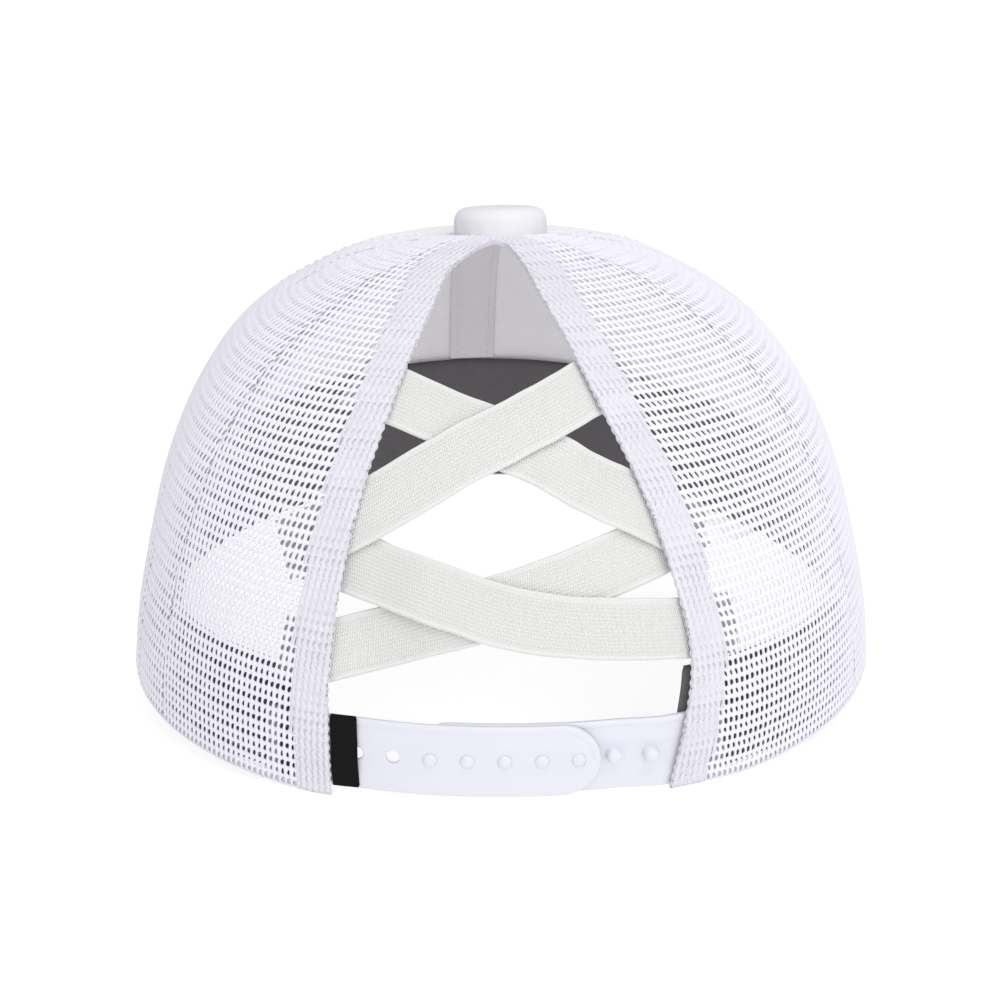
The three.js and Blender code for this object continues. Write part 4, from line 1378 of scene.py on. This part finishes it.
make_piece("sewn_peak", *peak_shell(), CLOTH, "cloth", ["peak"])

# %% [markdown]
# ## Stitches
#
# A stitch is a grain of thread that dips into the cloth at both ends. A row of them follows a
# line: the line is measured, and a stitch is set at every pitch. All rows of one piece are one
# mesh, because thousands of separate objects would be slow.

# %% A row of stitches
def stitch_row(line, facing, pitch=3.0, length=2.2, radius=0.24):
    """line is (n, 3) points, facing the directions away from the cloth. Stations along a stitch
    give its thickness and how far it has dipped."""
    measure = measured(line)
    centres = np.arange(pitch / 2, measure[-1] - length / 2, pitch)
    station = np.array([-1, -0.72, 0, 0.72, 1])
    thick = np.array([0, 0.85, 1, 0.85, 0])
    dip = np.array([-1.1, -0.1, 0.25, -0.1, -1.1]) * radius
    at = centres[:, None] + station * length / 2
    spot = np.stack([np.interp(at, measure, line[:, k]) for k in range(3)], -1)
    out = unit(np.stack([np.interp(at, measure, facing[:, k]) for k in range(3)], -1))
    tangent = unit(spot[:, -1:] - spot[:, :1])
    side = unit(np.cross(tangent, out))
    turn = np.arange(6) * TURN / 6
    side, out = side[:, :, None, :], out[:, :, None, :]
    ring = np.cos(turn)[:, None] * side + np.sin(turn)[:, None] * out
    points = spot[:, :, None, :] + out * dip[:, None, None] + ring * (thick * radius)[:, None, None]
    starts = (np.arange(len(centres)) * 5 * 6)[:, None, None]
    faces = (starts + tube_faces(5, 6)[:, TURNED]).reshape(-1, 4)
    return points, faces, np.stack(np.broadcast_arrays(at[:, :, None], turn[None, None, :]), -1)


def crown_row(edge, offset, first, last, depth, facing, **sizes):
    """A row beside an edge of the crown, offset millimetres from it, on a face at that depth."""
    share = np.linspace(first, last, 240)
    angle = edge_at(edge, share)
    angle = angle + offset / mm_per_degree(angle, share)
    out = facing * crown_normal(angle, share)
    return stitch_row(inside(angle, share, depth), out, **sizes)


RIM_MM_PER_SHARE = 118.0


def rim_row(first, last, up, depth, facing, **sizes):
    """A row round the rim between two angles, at that height along the crown."""
    angle = np.linspace(first, last, 300)
    share = np.full_like(angle, up / RIM_MM_PER_SHARE)
    out = facing * crown_normal(angle, share)
    return stitch_row(inside(angle, share, depth), out, **sizes)


# %% Sew the front, the tape, the peak and the sweatband
BESIDE_SEAMS = {"front_left": 2.0, "front_right": -2.0, "centre_left": -2.4, "centre_right": 2.4}
front_rows = [
    crown_row(edge, beside, 0.03, 0.955, 0.02, 1) for edge, beside in BESIDE_SEAMS.items()
]
front_rows.append(rim_row(114, 246, 4.0, 0.05, 1))
make_piece("front_stitches", *joined(*front_rows), THREAD, "cloth")

FINE = {"pitch": 2.6, "length": 1.9, "radius": 0.12}
tape_rows = [
    crown_row("centre_left", beside, 0.33, 0.925, TAPE_INSET + 0.92, -1, **FINE)
    for beside in (-TAPE_ROWS, TAPE_ROWS)
]
make_piece("tape_stitches", *joined(*tape_rows), TAPE, "cloth")

peak_rows = []
for face, facing in ((PEAK_THICK - 0.16, 1.0), (0.16, -1.0)):
    for back in PEAK_ROWS_FROM_EDGE:
        side = np.linspace(-0.93, 0.93, 260)
        up = np.full_like(side, 1 - back / PEAK_REACH)
        line = peak_place(side, up, face)
        step = 0.004
        across = peak_place(side + step, up, face) - peak_place(side - step, up, face)
        forward = peak_place(side, up + step, face) - peak_place(side, up - step, face)
        out = unit(np.cross(forward, across))
        out = out * np.sign(out[:, 2:]) * facing
        peak_rows.append(stitch_row(line, out))
make_piece("peak_stitches", *joined(*peak_rows), THREAD, "cloth")

band_row = rim_row(34, 326, SWEATBAND_ROW, SWEATBAND_INSET + 1.15, -1, pitch=3.2)
make_piece("sweatband_stitches", *joined(band_row), THREAD, "band")

# %% [markdown]
# ## What each cloth was cut to
#
# Each panel's cut area is worked out and printed: cloth can stretch a little, but it can't
# appear from nowhere. Each panel's flat area comes from the crown's own measures.

# %% State the cut sizes
def panel_sheet(name):
    """A hem is cut twice as wide as it shows, because it is folded over."""
    cut = CUTS[name]
    folds = 2 if name.startswith("opening_hem") else 1
    round(2 * cut.half_width * folds * MM, 4)
    "folded" if folds == 2 else "stretched"
    round(cut.area * folds * MM * MM, 6)
    return cut.area * folds


for name, piece in {**net_pieces, **hems, **fronts}.items():
    print(name, "cut area cm2", round(panel_sheet(name) / 100, 1))

# %% [markdown]
# ## Table, light and camera
#
# White cloth on white shows its relief only when the light comes from one side. The table fills
# the view and gives off most of its own light, as a light table does, so it stays an even white.
# A broad soft light hangs above, one stands behind the camera's right, and a weak one at its
# left. A long lens looks down a little.

# %% Table
FLOOR_HALF = 6.0
floor_mesh = bpy.data.meshes.new("table")
CORNERS = ((-1, -1), (1, -1), (1, 1), (-1, 1))
floor_corners = [(FLOOR_HALF * x, FLOOR_HALF * y, 0) for x, y in CORNERS]
floor_mesh.from_pydata(floor_corners, [], [(0, 1, 2, 3)])
floor = bpy.data.objects.new("table", floor_mesh)
bpy.context.scene.collection.objects.link(floor)
white = Shader("white_table")
grain = white.noise(0.02)
white_colour = white.mix(grain, (0.34, 0.34, 0.34), (0.36, 0.36, 0.36))
floor_mesh.materials.append(
    white.done(white_colour, 0.9 + grain * 0.05, white.bump(grain, 0.05, 0.2),
               Specular_IOR_Level=0.1, Emission_Color=(1, 1, 1, 1), Emission_Strength=0.78)
)
print("table:", 2 * FLOOR_HALF, "metres wide")

# %% Light
CAP_CENTRE = Vector((0.00025, 0.0355, 0.0494))


def aim(made, place):
    """Puts a light or camera at a place, turned to the cap's centre."""
    made.location = place
    made.rotation_euler = (CAP_CENTRE - made.location).to_track_quat("-Z", "Y").to_euler()
    bpy.context.scene.collection.objects.link(made)


def soft_light(name, place, size, power):
    lamp = bpy.data.lights.new(name, "AREA")
    lamp.shape = "DISK"
    lamp.size = size
    lamp.energy = power
    aim(bpy.data.objects.new(name, lamp), place)


soft_light("overhead_soft", (-0.15, 0.4, 1.35), 1.1, 8.0)
soft_light("left_soft", (0.85, 1.35, 0.6), 0.9, 2.2)
soft_light("right_soft", (-0.7, 1.45, 0.6), 0.9, 6.0)

world = bpy.data.worlds.new("white_room")
world.use_nodes = True
world.node_tree.nodes["Background"].inputs["Color"].default_value = (1, 1, 1, 1)
world.node_tree.nodes["Background"].inputs["Strength"].default_value = 0.6
bpy.context.scene.world = world
bpy.context.scene.view_settings.view_transform = "Standard"
print("lights:", [lamp.name for lamp in bpy.data.lights])

# %% Camera
VIEW_FROM = Vector((0.1016, 0.9354, 0.3387))
VIEW_DISTANCE = 0.6
camera_data = bpy.data.cameras.new("camera")
camera_data.lens = 80.5
camera_data.sensor_width = 36
camera_data.clip_end = 30
camera = bpy.data.objects.new("camera", camera_data)
aim(camera, CAP_CENTRE + VIEW_FROM * VIEW_DISTANCE)
bpy.context.scene.camera = camera
print("camera at", [round(value, 3) for value in camera.location])
